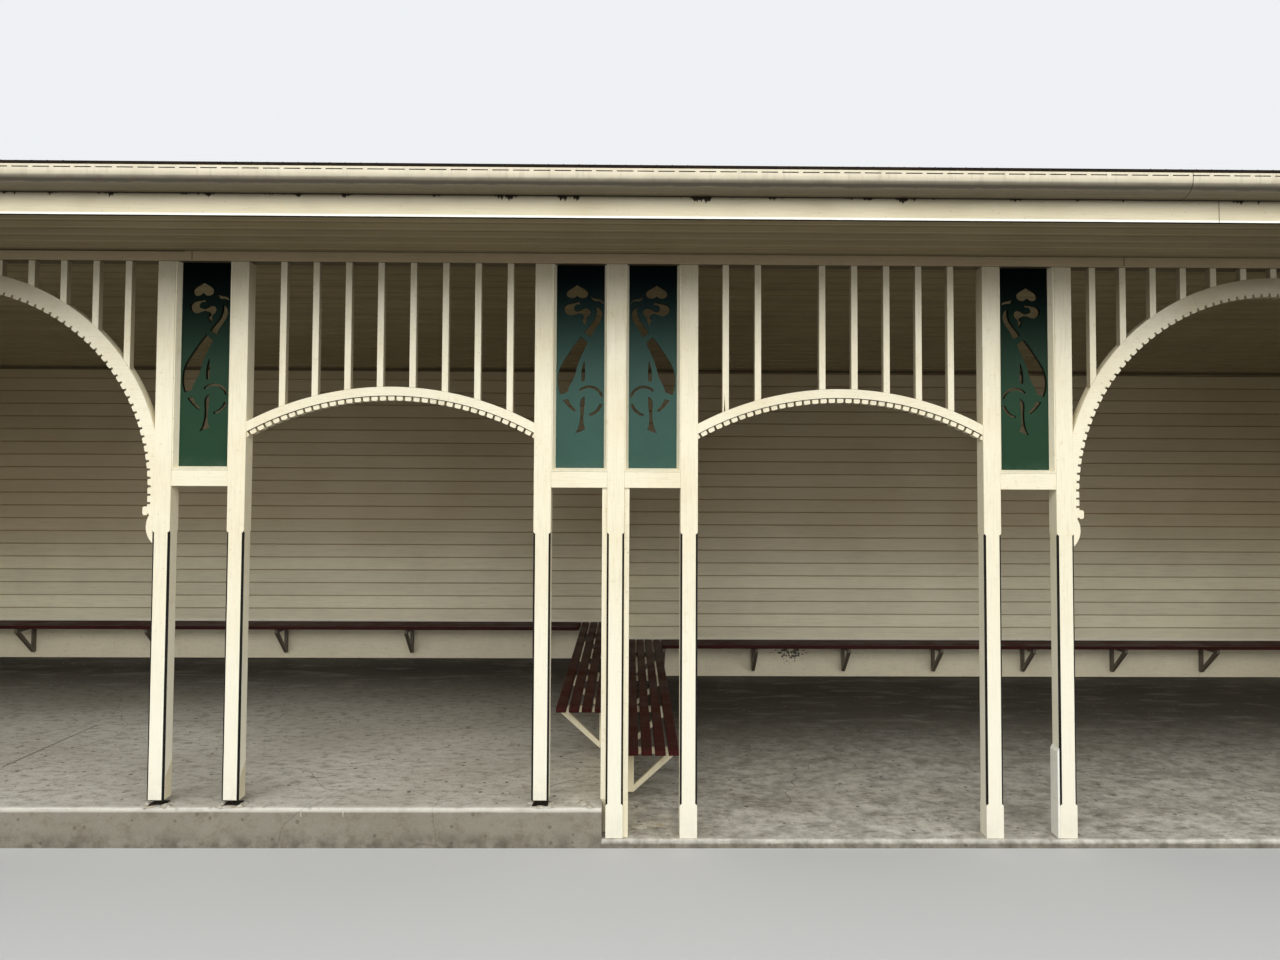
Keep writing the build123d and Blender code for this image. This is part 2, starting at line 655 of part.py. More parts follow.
def barge_boards():
    """Boards on the verges, deeper where they close the eaves, and their linings."""
    front_foot = SOFFIT - FASCIA_DROP
    back_foot = BACK_SOFFIT - FASCIA_DROP
    drop = BATTEN_TOP - BARGE_HEIGHT * PLUMB
    for x0 in (-ROOF_HALF, ROOF_HALF - BARGE):
        outlines = (
            [(FRONT_FASCIA, front_foot), (FRONT, front_foot), (FRONT, under(FRONT) + drop),
             (RIDGE, under(RIDGE) + drop), (RIDGE, under(RIDGE) + BATTEN_TOP),
             (FRONT_FASCIA, under(FRONT_FASCIA) + BATTEN_TOP)],
            [(BACK_FASCIA, back_foot), (BACK_FASCIA, under(BACK_FASCIA) + BATTEN_TOP),
             (RIDGE, under(RIDGE) + BATTEN_TOP), (RIDGE, under(RIDGE) + drop),
             (OUTER, under(OUTER) + drop), (OUTER, back_foot)],
        )
        for outline in outlines:
            keep("barge_boards", lengthwise(outline, x0, x0 + BARGE))
    for x0, x1 in ((-ROOF_HALF + BARGE, -HALF), (HALF, ROOF_HALF - BARGE)):
        for near, far in ((FRONT, RIDGE), (RIDGE, OUTER)):
            outline = [(near, under(near)), (far, under(far)), (far, under(far) + LINING), (near, under(near) + LINING)]
            keep("verge_linings", lengthwise(outline, x0, x1))
        keep("verge_linings", block(x0, x1, FRONT, FRONT + LINING, SOFFIT, under(FRONT)))
        keep("verge_linings", block(x0, x1, OUTER - LINING, OUTER, BACK_SOFFIT, under(OUTER)))


def eaves():
    """Head beam, frieze trim, level soffits, fascias and gutters."""
    keep("head_beam", block(-HALF, HALF, FRONT, FRONT + POST, HEAD, HEAD_TOP))
    keep("frieze_trim", block(-HALF, HALF, FRONT - TRIM_THICK, FRONT, HEAD, SOFFIT))
    reach = ROOF_HALF - BARGE
    keep(
        "soffits",
        block(-reach, reach, FRONT_FASCIA, FRONT, SOFFIT, SOFFIT + LINING),
        block(-reach, reach, OUTER, BACK_FASCIA, BACK_SOFFIT, BACK_SOFFIT + LINING),
    )
    front_foot, back_foot = SOFFIT - FASCIA_DROP, BACK_SOFFIT - FASCIA_DROP
    front_top, back_top = under(FRONT_FASCIA) + RAFTER_TOP, under(BACK_FASCIA) + RAFTER_TOP
    keep(
        "fascias",
        block(-ROOF_HALF, ROOF_HALF, FRONT_FASCIA - FASCIA, FRONT_FASCIA, front_foot, front_top),
        block(-ROOF_HALF, ROOF_HALF, BACK_FASCIA, BACK_FASCIA + FASCIA, back_foot, back_top),
    )
    front = gutter(FRONT_FASCIA - FASCIA, under(FRONT_FASCIA) + SHEET_TOP - GUTTER_DROP)
    back = gutter(-BACK_FASCIA - FASCIA, under(BACK_FASCIA) + SHEET_TOP - GUTTER_DROP)
    keep("gutters", front, mirror(back, about=Plane.XZ))


def gutter(y, lip):
    """A quad gutter that hangs in front of a board whose face is at y."""
    foot = lip - GUTTER_HEIGHT
    wide, thick = GUTTER_WIDTH, GUTTER_THICK

    def section(shrink, top):
        near, bed, far = y - shrink, y - GUTTER_BED, y - wide + shrink
        base, turn = foot + shrink, foot + GUTTER_BELLY
        bend = (far + (bed - far) * (1 - cos(pi / 4)), turn - (turn - base) * sin(pi / 4))
        belly = ThreePointArc((bed, base), bend, (far, turn))
        outline = Polyline((far, turn), (far, top), (near, top), (near, base), (bed, base))
        return make_face([belly, outline])

    trough = section(0, lip) - section(thick, lip + thick)
    body = Pos(-ROOF_HALF, 0, 0) * extrude(Plane.YZ * trough, 2 * ROOF_HALF)
    ends = [Pos(x, 0, 0) * extrude(Plane.YZ * section(0, lip), thick) for x in (-ROOF_HALF, ROOF_HALF - thick)]
    return body + ends


def main():
    floors()
    posts()
    panel_frames()
    fretwork()
    arches()
    spindles()
    walls()
    partition()
    ceiling()
    benches()
    roof()
    eaves()
    os.makedirs("parts", exist_ok=True)
    for name, solids in PARTS.items():
        shape = solids[0] if len(solids) == 1 else Compound(children=solids)
        export_step(shape, f"parts/{name}.step")


main()
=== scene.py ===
"""Looks of the shelter shed: painted timber, boards, corrugated roof, gutters and worn concrete."""

import math
import random

import bmesh
import bpy
from mathutils import Matrix, Vector, noise


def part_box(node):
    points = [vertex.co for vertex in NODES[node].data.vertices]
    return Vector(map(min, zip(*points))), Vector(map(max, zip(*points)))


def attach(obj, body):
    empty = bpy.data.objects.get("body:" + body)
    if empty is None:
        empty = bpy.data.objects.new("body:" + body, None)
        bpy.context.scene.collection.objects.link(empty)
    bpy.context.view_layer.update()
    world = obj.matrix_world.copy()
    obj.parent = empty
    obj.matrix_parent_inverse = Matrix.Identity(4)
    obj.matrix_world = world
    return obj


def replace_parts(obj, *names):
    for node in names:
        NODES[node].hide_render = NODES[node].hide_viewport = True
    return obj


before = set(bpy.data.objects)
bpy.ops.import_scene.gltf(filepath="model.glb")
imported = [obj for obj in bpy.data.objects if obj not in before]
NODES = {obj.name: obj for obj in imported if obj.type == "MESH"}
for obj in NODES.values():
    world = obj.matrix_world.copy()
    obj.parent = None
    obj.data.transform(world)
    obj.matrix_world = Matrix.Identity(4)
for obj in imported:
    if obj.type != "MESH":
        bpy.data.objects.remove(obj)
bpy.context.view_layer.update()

# Places read from the frame, in metres
LEFT_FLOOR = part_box("floor_slab_left")[1].z
RIGHT_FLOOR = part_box("floor_slab_right")[1].z
SLAB_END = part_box("floor_slab_left")[1].x
SLAB_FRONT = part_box("floor_slab_left")[0].y
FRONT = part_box("centre_post")[0].y
POST_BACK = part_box("centre_post")[1].y
POST = POST_BACK - FRONT
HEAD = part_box("centre_post")[1].z
POST_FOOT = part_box("left_posts")[0].z
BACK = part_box("back_wall_right")[0].y
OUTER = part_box("back_wall_right")[1].y
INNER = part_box("end_wall_right")[0].x
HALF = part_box("end_wall_right")[1].x
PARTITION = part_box("partition_wall")[1].x
RAIL_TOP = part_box("panel_rails")[1].z
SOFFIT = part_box("frieze_trim")[1].z
FASCIA_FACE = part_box("fascias")[0].y
FASCIA_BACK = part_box("fascias")[1].y
BACK_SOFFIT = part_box("soffits")[0].z
ROOF_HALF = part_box("roof_front")[1].x
ROOF_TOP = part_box("roof_front")[1].z
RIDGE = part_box("roof_front")[1].y
EAVE_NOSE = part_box("roof_front")[0].y
BACK_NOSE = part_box("roof_back")[1].y
CEILING_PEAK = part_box("partition_wall")[1].z
GUTTER_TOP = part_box("gutters")[1].z

# Sizes that the solids share, in metres
PITCH = math.radians(10)
SLOPE = math.tan(PITCH)
PLUMB = 1 / math.cos(PITCH)
LINING = 0.012
SEAT = 0.375
FASCIA = 0.025
GUTTER_WIDTH = 0.12
GUTTER_HEIGHT = 0.115
CHAMFER_TOP = 1.567
BASE_BLOCK = 0.185
SHEET = 0.018

# The two ends of the building, each with its word, its side and its floor
ENDS = (("left", -1, LEFT_FLOOR), ("right", 1, RIGHT_FLOOR))

# The two slopes of the roof, each with its eave and the way from there to the ridge
SLOPES = ((EAVE_NOSE, 1), (BACK_NOSE, -1))

# The photograph's camera, with its picture 1280 by 960 pixels
PICTURE_WIDTH = 1280
PICTURE_HEIGHT = 960
PICTURE_MIDDLE = (640, 435.3)
FOCAL = 926.8
SENSOR = 36.0
CAMERA_PLACE = Vector((0.080, -7.254, 2.155))
CAMERA_YAW = math.radians(0.621)
CAMERA_PITCH = math.radians(2.114)
CAMERA_ROLL = math.radians(0.262)


def camera_axes():
    """Right, up and forward of the camera."""
    flat = Vector((math.sin(CAMERA_YAW), math.cos(CAMERA_YAW), 0))
    forward = flat * math.cos(CAMERA_PITCH) + Vector((0, 0, math.sin(CAMERA_PITCH)))
    level = Vector((math.cos(CAMERA_YAW), -math.sin(CAMERA_YAW), 0))
    rise = level.cross(forward)
    right = level * math.cos(CAMERA_ROLL) + rise * math.sin(CAMERA_ROLL)
    return right, right.cross(forward), forward


def seen_at(pixel, axis, level):
    """The point that a pixel of the photograph shows on the plane where the axis has that value."""
    right, up, forward = camera_axes()
    across = (pixel[0] - PICTURE_MIDDLE[0]) / FOCAL
    upward = (PICTURE_MIDDLE[1] - pixel[1]) / FOCAL
    ray = forward + right * across + up * upward
    return CAMERA_PLACE + ray * ((level - CAMERA_PLACE[axis]) / ray[axis])


def at_pixel(pixel, y):
    """The point of the upright plane at y that a pixel of the photograph shows."""
    return seen_at(pixel, 1, y)


def on_floor(pixel, z):
    """The point of the level plane at z that a pixel of the photograph shows."""
    return seen_at(pixel, 2, z)


def set_camera():
    """A camera with the photograph's place, turn and angle of view."""
    right, up, forward = camera_axes()
    data = bpy.data.cameras.new("view")
    data.sensor_width = SENSOR
    data.lens = FOCAL / PICTURE_WIDTH * SENSOR
    data.shift_y = (PICTURE_MIDDLE[1] - PICTURE_HEIGHT / 2) / PICTURE_WIDTH
    camera = bpy.data.objects.new("view", data)
    turn = Matrix((right, up, -forward)).transposed().to_4x4()
    camera.matrix_world = Matrix.Translation(CAMERA_PLACE) @ turn
    bpy.context.scene.collection.objects.link(camera)
    bpy.context.scene.camera = camera


def ceiling_foot(y):
    """Height of the ceiling's underside."""
    return CEILING_PEAK - abs(y - RIDGE) * SLOPE


def post_centres(name):
    """Middles along X of a node's upright posts, from their top faces."""
    mesh = NODES[name].data
    top = max(v.co.z for v in mesh.vertices)
    edges = sorted({round(v.co.x, 3) for v in mesh.vertices if v.co.z > top - 0.001})
    return [(a + b) / 2 for a, b in zip(edges[::2], edges[1::2])]


# Node trees


class Graph:
    """A node tree, with short calls for the nodes that are used most."""

    def __init__(self, tree):
        self.tree = tree

    def put(self, socket, value):
        """Give a socket a value or a link."""
        if isinstance(value, bpy.types.NodeSocket):
            self.tree.links.new(value, socket)
        else:
            socket.default_value = value

    def node(self, kind, inputs=None, **settings):
        """A node with its settings, and its inputs given as values or links."""
        made = self.tree.nodes.new(kind)
        for key, value in settings.items():
            setattr(made, key, value)
        for key, value in (inputs or {}).items():
            self.put(made.inputs[key], value)
        return made

    def maths(self, operation, *values):
        return self.node("ShaderNodeMath", dict(enumerate(values)), operation=operation).outputs[0]

    def times(self, first, second):
        return self.maths("MULTIPLY", first, second)

    def mixed(self, share, first, second):
        return self.node("ShaderNodeMix", {0: share, 6: first, 7: second}, data_type="RGBA").outputs[2]

    def ranged(self, value, low, high, to_low=0.0, to_high=1.0, kind="SMOOTHSTEP"):
        """A value carried from one range to another, and held at its ends."""
        inputs = {"Value": value, "From Min": low, "From Max": high, "To Min": to_low, "To Max": to_high}
        return self.node("ShaderNodeMapRange", inputs, interpolation_type=kind).outputs[0]

    def noised(self, vector, scale, detail=3.0, roughness=0.55):
        inputs = {"Vector": vector, "Scale": scale, "Detail": detail, "Roughness": roughness}
        return self.node("ShaderNodeTexNoise", inputs).outputs[0]

    def split(self, vector):
        """The three parts of a vector."""
        return self.node("ShaderNodeSeparateXYZ", {0: vector}).outputs


class Effect(Graph):
    """A node group that materials share, with its inputs' defaults and its outputs' names."""

    def __init__(self, name, inputs, outputs):
        super().__init__(bpy.data.node_groups.new(name, "ShaderNodeTree"))
        for label, default in inputs.items():
            kind = "NodeSocketFloat" if isinstance(default, float) else "NodeSocketVector"
            socket = self.tree.interface.new_socket(label, in_out="INPUT", socket_type=kind)
            socket.default_value = default
        for label in outputs:
            self.tree.interface.new_socket(label, in_out="OUTPUT", socket_type="NodeSocketFloat")
        self.given = self.tree.nodes.new("NodeGroupInput").outputs
        self.made = self.tree.nodes.new("NodeGroupOutput").inputs


def rising_dirt():
    """Dirt that splashes up from a floor and breaks up with height."""
    group = Effect("rising dirt", {"Vector": (0, 0, 0), "Foot": 0.0, "Reach": 0.3}, ["Mask"])
    over = group.maths("SUBTRACT", group.split(group.given["Vector"])[2], group.given["Foot"])
    fade = group.ranged(group.maths("DIVIDE", over, group.given["Reach"]), 0.0, 1.0, 1.0, 0.0)
    cloud = group.noised(group.given["Vector"], 9.0, 3.0, 0.65)
    group.put(group.made["Mask"], group.times(fade, group.ranged(cloud, 0.32, 0.7)))
    return group.tree


def streaks():
    """Fine streaks drawn out along one way, for brush marks and grain."""
    group = Effect("streaks", {"Vector": (0, 0, 0), "Stretch": (1, 1, 1), "Scale": 40.0}, ["Value", "Mask"])
    drawn = {0: group.given["Vector"], 1: group.given["Stretch"]}
    drawn = group.node("ShaderNodeVectorMath", drawn, operation="MULTIPLY").outputs[0]
    value = group.noised(drawn, group.given["Scale"], 2.0, 0.6)
    group.put(group.made["Value"], value)
    group.put(group.made["Mask"], group.ranged(value, 0.52, 0.68))
    return group.tree


def specks():
    """Small scattered specks, such as grit, chips or spots of dirt."""
    group = Effect("specks", {"Vector": (0, 0, 0), "Scale": 30.0, "Size": 0.12, "Amount": 0.5}, ["Mask"])
    spread = {"Vector": group.given["Vector"], "Scale": group.given["Scale"]}
    cells = group.node("ShaderNodeTexVoronoi", spread).outputs
    chance, size, _ = group.node("ShaderNodeSeparateColor", {0: cells["Color"]}).outputs
    own = group.times(group.given["Size"], group.maths("ADD", size, 0.4))
    spot = group.maths("LESS_THAN", cells["Distance"], own)
    some = group.maths("LESS_THAN", chance, group.given["Amount"])
    group.put(group.made["Mask"], group.times(spot, some))
    return group.tree


def clouds():
    """Large soft patches."""
    group = Effect("clouds", {"Vector": (0, 0, 0), "Scale": 2.0, "Low": 0.4, "High": 0.65}, ["Mask"])
    value = group.noised(group.given["Vector"], group.given["Scale"], 4.0, 0.62)
    mask = group.ranged(value, group.given["Low"], group.given["High"], kind="LINEAR")
    group.put(group.made["Mask"], mask)
    return group.tree


def board_tone():
    """A slight tone of its own for each board, counted along one axis."""
    group = Effect("board tone", {"Place": 0.0, "Start": 0.0, "Cover": 0.13}, ["Value"])
    shifted = group.maths("SUBTRACT", group.given["Place"], group.given["Start"])
    count = group.maths("FLOOR", group.maths("DIVIDE", shifted, group.given["Cover"]))
    drawn = group.node("ShaderNodeTexWhiteNoise", {"W": count}, noise_dimensions="1D")
    group.put(group.made["Value"], drawn.outputs[0])
    return group.tree


EFFECTS = {
    "dirt": rising_dirt(), "streaks": streaks(), "specks": specks(), "clouds": clouds(),
    "board": board_tone(),
}


class Paint(Graph):
    """A material in the making: each layer goes over the last, placed by the piece's own coordinates."""

    def __init__(self, name, tone):
        self.material = bpy.data.materials.new(name)
        self.material.use_nodes = True
        super().__init__(self.material.node_tree)
        self.shader = self.tree.nodes["Principled BSDF"]
        self.place = self.tree.nodes.new("ShaderNodeTexCoord").outputs["Object"]
        self.x, self.y, self.z = self.split(self.place)
        self.tone = tone
        self.roughness = None

    def effect(self, name, output="Mask", **inputs):
        """One output of a shared effect, with its inputs by name."""
        made = self.node("ShaderNodeGroup", node_tree=EFFECTS[name])
        if "Vector" in made.inputs:
            inputs.setdefault("vector", self.place)
        for key, value in inputs.items():
            self.put(made.inputs[key.title()], value)
        return made.outputs[output]

    def brushed(self, stretch, scale):
        """Fine streaks, as a value."""
        return self.effect("streaks", "Value", stretch=stretch, scale=scale)

    def stretched(self, scale):
        return self.node("ShaderNodeMapping", {"Vector": self.place, "Scale": scale}).outputs[0]

    def facing(self):
        """The three parts of the surface's direction."""
        return self.split(self.tree.nodes.new("ShaderNodeNewGeometry").outputs["Normal"])

    def beyond(self, value, least):
        """Where a value is larger than the least, whatever its sign."""
        return self.maths("GREATER_THAN", self.maths("ABSOLUTE", value), least)

    def shade(self, name, value):
        """Give one of the shader's own sockets a value or a link."""
        self.put(self.shader.inputs[name], value)

    def over(self, mask, colour, share=None):
        """Lay a colour over the tone by a mask, at most by the share given."""
        if share is not None:
            mask = self.times(mask, share)
        self.tone = self.mixed(mask, self.tone, colour)
        self.shade("Base Color", self.tone)

    def roughened(self, mask, low, high, start=0.0, end=1.0):
        """Roughness from low to high while the mask goes from start to end."""
        self.roughness = self.ranged(mask, start, end, low, high)
        self.shade("Roughness", self.roughness)

    def bumped(self, height, distance):
        bump = self.node("ShaderNodeBump", {"Height": height, "Distance": distance, "Strength": 1.0})
        self.shade("Normal", bump.outputs[0])


def srgb(red, green, blue):
    """A colour given as it looks on a screen, 0 to 255."""
    def linear(value):
        value /= 255
        return value / 12.92 if value <= 0.04045 else ((value + 0.055) / 1.055) ** 2.4
    return linear(red), linear(green), linear(blue), 1.0


def scaled(colour, factor):
    """A colour made darker or lighter."""
    return tuple(factor * c for c in colour[:3]) + (1.0,)


CREAM = srgb(240, 231, 202)
CREAM_LOW = srgb(228, 216, 180)
CREAM_MOTTLE = srgb(206, 182, 128)
# Painted light: the pale tone of the posts low down
CREAM_PAINTED_LIGHT = srgb(253, 249, 230)
WALL_CREAM = srgb(252, 243, 211)
WALL_SHADE = srgb(141, 112, 64)
# Painted shade in the grooves of the inner walls
WALL_GROOVE_SHADE = srgb(150, 122, 80)
# Painted highlight on the beads of the soffit boards
SOFFIT_BEAD_HIGHLIGHT = srgb(226, 212, 172)
GRIME = srgb(98, 84, 60)
BLACK_PAINT_AND_SHADE = srgb(20, 17, 14)
BLACK_DIRT_AND_SHADE = srgb(26, 20, 14)
EAVE_SHADE = srgb(120, 104, 74)
BRACKET_SHADE = srgb(64, 46, 34)
RUST = srgb(112, 62, 34)

# Heights between which painted light makes the paint pale low down and painted shade darkens it under the
# eave, in metres
PAINTED_LIGHT_FULL = 0.5
PAINTED_LIGHT_END = 1.9
EAVE_DEPTH = 0.62
EAVE_FULL = 0.05


def painted_timber(name, colour, along, foot=None, dirt=0.5, eave=0.0, painted_light_low=0.0):
    """Gloss paint on timber: brush marks along the piece, grime, specks and a few chips.

    Painted shade darkens the paint under the eave, and painted light makes it pale low down, by the shares
    given.
    """
    paint = Paint(name, colour)
    brush = paint.brushed([0.7 if axis == along else 14.0 for axis in "xyz"], 9.0)
    patches = paint.effect("clouds", scale=2.2, low=0.42, high=0.7)
    paint.over(patches, CREAM_LOW if colour == CREAM else scaled(colour, 0.86), 0.6)
    paint.over(paint.ranged(brush, 0.42, 0.8, 0.0, 0.12), GRIME)
    mottle = paint.noised(paint.place, 26.0, 3.0, 0.7)
    paint.over(paint.ranged(mottle, 0.56, 0.74, 0.0, 0.35), CREAM_MOTTLE)
    spots = paint.effect("specks", scale=30.0, size=0.08, amount=dirt * 0.5)
    paint.over(spots, GRIME, 0.5)
    if foot is not None:
        paint.over(paint.effect("dirt", foot=foot, reach=0.2), GRIME, 0.3)
    # Painted light: the paint made pale low down
    if painted_light_low:
        paint.over(paint.ranged(paint.z, PAINTED_LIGHT_FULL, PAINTED_LIGHT_END, painted_light_low, 0.0), CREAM_PAINTED_LIGHT)
    # Painted shade: the paint darkened under the eave
    if eave:
        paint.over(paint.ranged(paint.z, SOFFIT - EAVE_DEPTH, SOFFIT - EAVE_FULL, 0.0, eave), EAVE_SHADE)
    paint.roughened(patches, 0.42, 0.62)
    paint.bumped(paint.maths("SUBTRACT", brush, paint.times(spots, 0.6)), 0.0006)
    return paint


CHAMFER_TURN = 0.3


def with_dark_chamfers(paint, low, high):
    """The stopped chamfers of a post are painted dark."""
    across, forward, _ = paint.facing()
    slanted = paint.times(paint.beyond(across, CHAMFER_TURN), paint.beyond(forward, CHAMFER_TURN))
    inside = paint.times(paint.maths("GREATER_THAN", paint.z, low), paint.maths("LESS_THAN", paint.z, high))
    mask = paint.times(slanted, inside)
    paint.over(mask, BLACK_PAINT_AND_SHADE)
    paint.shade("Roughness", paint.maths("MAXIMUM", paint.roughness, mask))
    return paint


def with_shaded_sides(paint):
    """Painted shade on the narrow sides of upright pieces."""
    paint.over(paint.beyond(paint.facing()[0], 0.6), EAVE_SHADE, 0.6)
    return paint


BACK_BRACKETS_FROM = 1.5


def with_shaded_back(paint):
    """Painted shade: the brackets under the back benches are darkened to brown; those of the partition
    benches stay plain cream.
    """
    paint.over(paint.maths("GREATER_THAN", paint.y, BACK_BRACKETS_FROM), BRACKET_SHADE, 0.88)
    return paint


MOULD_PIXEL = (790, 653)
MOULD_REACH = 0.34


def with_mould(paint):
    """Black mould spots on the sheets under one stretch of the right back bench."""
    worst = at_pixel(MOULD_PIXEL, BACK)
    aside = paint.maths("ABSOLUTE", paint.maths("SUBTRACT", paint.x, worst.x))
    below = paint.maths("ABSOLUTE", paint.maths("SUBTRACT", paint.z, worst.z))
    away = paint.maths("ADD", aside, paint.times(below, 2.0))
    size = paint.ranged(away, 0.03, MOULD_REACH, 1.1, 0.0)
    cells = paint.node("ShaderNodeTexVoronoi", {"Vector": paint.place, "Scale": 40.0}).outputs
    spots = paint.maths("LESS_THAN", cells["Distance"], paint.times(size, cells["Color"]))
    paint.over(spots, BLACK_DIRT_AND_SHADE, 0.85)
    return paint


def with_gutter_dirt_and_shade(paint, foot, shaded_height):
    """Black dirt under the gutter in a ragged line, with drips, over a fascia darkened by painted shade
    towards the gutter and on its underside, with a painted highlight along its bottom arris.
    """
    # Painted shade: the fascia darker towards the gutter above it
    paint.over(paint.ranged(paint.z, foot - shaded_height, foot, 0.0, 0.6), srgb(112, 100, 74))
    rag = paint.noised(paint.stretched((1.0, 1.0, 0.15)), 9.0, 5.0, 0.7)
    reach = paint.maths("ADD", paint.z, paint.ranged(rag, 0.54, 0.76, 0.0, 0.04))
    dirt = paint.ranged(reach, foot - 0.006, foot + 0.002, 0.0, 0.95)
    # Painted shade: the fascia's underside made black along with the dirt
    dirt = paint.maths("MAXIMUM", dirt, paint.maths("LESS_THAN", paint.facing()[2], -0.8))
    # Painted highlight: a near-white line along the fascia's bottom arris
    arris = foot - shaded_height
    paint.over(paint.ranged(paint.z, arris - 0.004, arris + 0.002, 0.9, 0.0), srgb(255, 252, 240))
    paint.over(dirt, BLACK_DIRT_AND_SHADE)
    paint.shade("Specular IOR Level", paint.ranged(dirt, 0.0, 1.0, 0.5, 0.03))
    return paint


def boards_paint(name, colour, axis, start, cover, spread=0.1, foot=None, joint=0.0, joint_painted_light=None):
    """Paint on lining boards, each with a slight tone of its own, and a band at each joint in the tone given:
    painted shade in the walls' grooves, a painted highlight on the soffit's beads.
    """
    paint = Paint(name, colour)
    counted = {"Y": paint.y, "Z": paint.z}[axis]
    each = paint.effect("board", "Value", place=counted, start=start, cover=cover)
    brush = paint.brushed((0.6, 12.0, 12.0), 8.0)
    patches = paint.effect("clouds", scale=0.9, low=0.4, high=0.72)
    paint.over(each, scaled(colour, 1 - 1.6 * spread), 0.8)
    paint.over(patches, GRIME, 0.18)
    paint.over(paint.ranged(brush, 0.4, 0.8, 0.0, 0.14), GRIME)
    paint.over(paint.effect("specks", scale=22.0, size=0.08, amount=0.3), GRIME, 0.35)
    # A band along each joint: painted shade in the walls' grooves, a painted highlight on the soffit's beads
    if joint:
        share = paint.maths("FRACT", paint.maths("DIVIDE", paint.maths("SUBTRACT", counted, start), cover))
        paint.over(paint.maths("GREATER_THAN", share, 1 - joint / cover), joint_painted_light, 0.65)
    if foot is not None:
        paint.over(paint.effect("dirt", foot=foot, reach=0.5), GRIME, 0.26)
    paint.roughened(patches, 0.5, 0.72)
    paint.bumped(brush, 0.0006)
    return paint


def green_board(name, colour, low, high):
    """Gloss green on the pierced boards, with painted shade darkening it towards the top and blackening the
    cut edges.
    """
    paint = Paint(name, colour)
    brush = paint.brushed((10.0, 10.0, 0.6), 9.0)
    paint.over(paint.effect("clouds", scale=3.5, low=0.38, high=0.7), scaled(colour, 1.3), 0.5)
    # Painted shade: darker towards the top, under the eave
    dark = paint.ranged(paint.z, low + 0.25 * (high - low), high - 0.05, 0.0, 0.97)
    paint.over(dark, srgb(3, 8, 11))
    paint.over(paint.effect("dirt", foot=low, reach=0.1), srgb(100, 112, 100), 0.2)
    # Painted shade: the cut edges near black
    shaded_cut_edge = paint.maths("LESS_THAN", paint.maths("ABSOLUTE", paint.facing()[1]), 0.6)
    paint.over(shaded_cut_edge, srgb(12, 16, 12), 0.9)
    paint.shade("Specular IOR Level", paint.ranged(dark, 0.0, 1.0, 0.16, 0.015))
    paint.roughened(brush, 0.38, 0.5, 0.3, 0.8)
    paint.bumped(brush, 0.0002)
    return paint


def bench_paint():
    """Maroon gloss worn along the arrises and the tops of the slats."""
    paint = Paint("maroon bench paint", srgb(54, 22, 20))
    along_x = paint.brushed((0.8, 14.0, 14.0), 8.0)
    along_y = paint.brushed((14.0, 0.8, 14.0), 8.0)
    patches = paint.effect("clouds", scale=2.4, low=0.4, high=0.66)
    paint.over(patches, srgb(76, 34, 31), 0.6)
    worn = paint.times(paint.ranged(along_y, 0.55, 0.72), paint.ranged(along_x, 0.45, 0.7))
    paint.over(worn, srgb(122, 86, 72), 0.45)
    grit = paint.effect("specks", scale=40.0, size=0.1, amount=0.35)
    paint.over(grit, srgb(36, 16, 15), 0.6)
    paint.shade("Specular IOR Level", 0.08)
    paint.roughened(patches, 0.4, 0.6)
    paint.bumped(paint.maths("ADD", along_y, paint.times(grit, -0.3)), 0.0006)
    return paint


def concrete(name, floor, shade_from, shade_to):
    """Worn trowelled slab: patches, stains, grit and hair cracks, with painted shade making it darker towards
    the back.
    """
    paint = Paint(name, srgb(194, 189, 174))
    wide = paint.effect("clouds", vector=paint.stretched((0.6, 1.3, 1.0)), scale=1.1, low=0.34, high=0.66)
    fine = paint.noised(paint.stretched((0.8, 1.5, 1.0)), 13.0, 5.0, 0.74)
    sand = paint.noised(paint.place, 150.0, 1.0)
    paint.over(wide, srgb(220, 216, 202))
    paint.over(paint.ranged(fine, 0.46, 0.7, 0.0, 0.75), srgb(128, 117, 100))
    paint.over(paint.ranged(fine, 0.3, 0.42, 0.5, 0.0), srgb(240, 236, 224))
    # Painted shade: darker towards the back, under the roof
    paint.over(paint.ranged(paint.y, FRONT + shade_from, BACK - shade_to, 0.0, 0.975), srgb(22, 18, 13))
    paint.over(paint.effect("streaks", stretch=(1.0, 4.0, 1.0), scale=2.2), srgb(180, 176, 162), 0.2)
    dark = paint.effect("specks", scale=16.0, size=0.16, amount=0.35)
    paint.over(dark, srgb(50, 40, 30), 0.7)
    paint.over(paint.effect("specks", scale=23.0, size=0.12, amount=0.2), srgb(226, 220, 206), 0.6)
    paint.over(paint.ranged(sand, 0.3, 0.75, 0.0, 0.3), srgb(110, 102, 90))
    wander = paint.node("ShaderNodeTexNoise", {"Vector": paint.place, "Scale": 1.6, "Detail": 2.0}).outputs[1]
    bent = {0: wander, 1: (0.6, 0.6, 0.6), 2: paint.place}
    bent = paint.node("ShaderNodeVectorMath", bent, operation="MULTIPLY_ADD").outputs[0]
    cells = paint.node("ShaderNodeTexVoronoi", {"Vector": bent, "Scale": 0.3}, feature="DISTANCE_TO_EDGE")
    crack = paint.maths("LESS_THAN", cells.outputs["Distance"], 0.0009)
    paint.over(crack, srgb(60, 53, 44), 0.4)
    paint.over(paint.ranged(paint.z, floor - 0.03, floor - 0.006, 1.0, 0.0), srgb(112, 104, 84), 0.75)
    arris = paint.ranged(paint.y, SLAB_FRONT + 0.006, SLAB_FRONT + 0.05, 0.6, 0.0)
    arris = paint.times(arris, paint.ranged(paint.z, floor - 0.03, floor - 0.018))
    paint.over(arris, srgb(215, 210, 196))
    paint.over(paint.effect("dirt", foot=0.0, reach=0.12), srgb(64, 56, 42), 0.7)
    paint.roughened(wide, 0.62, 0.85)
    grit = paint.maths("ADD", paint.times(sand, 0.3), paint.times(fine, 0.8))
    paint.bumped(paint.maths("SUBTRACT", grit, paint.maths("ADD", crack, dark)), 0.002)
    return paint


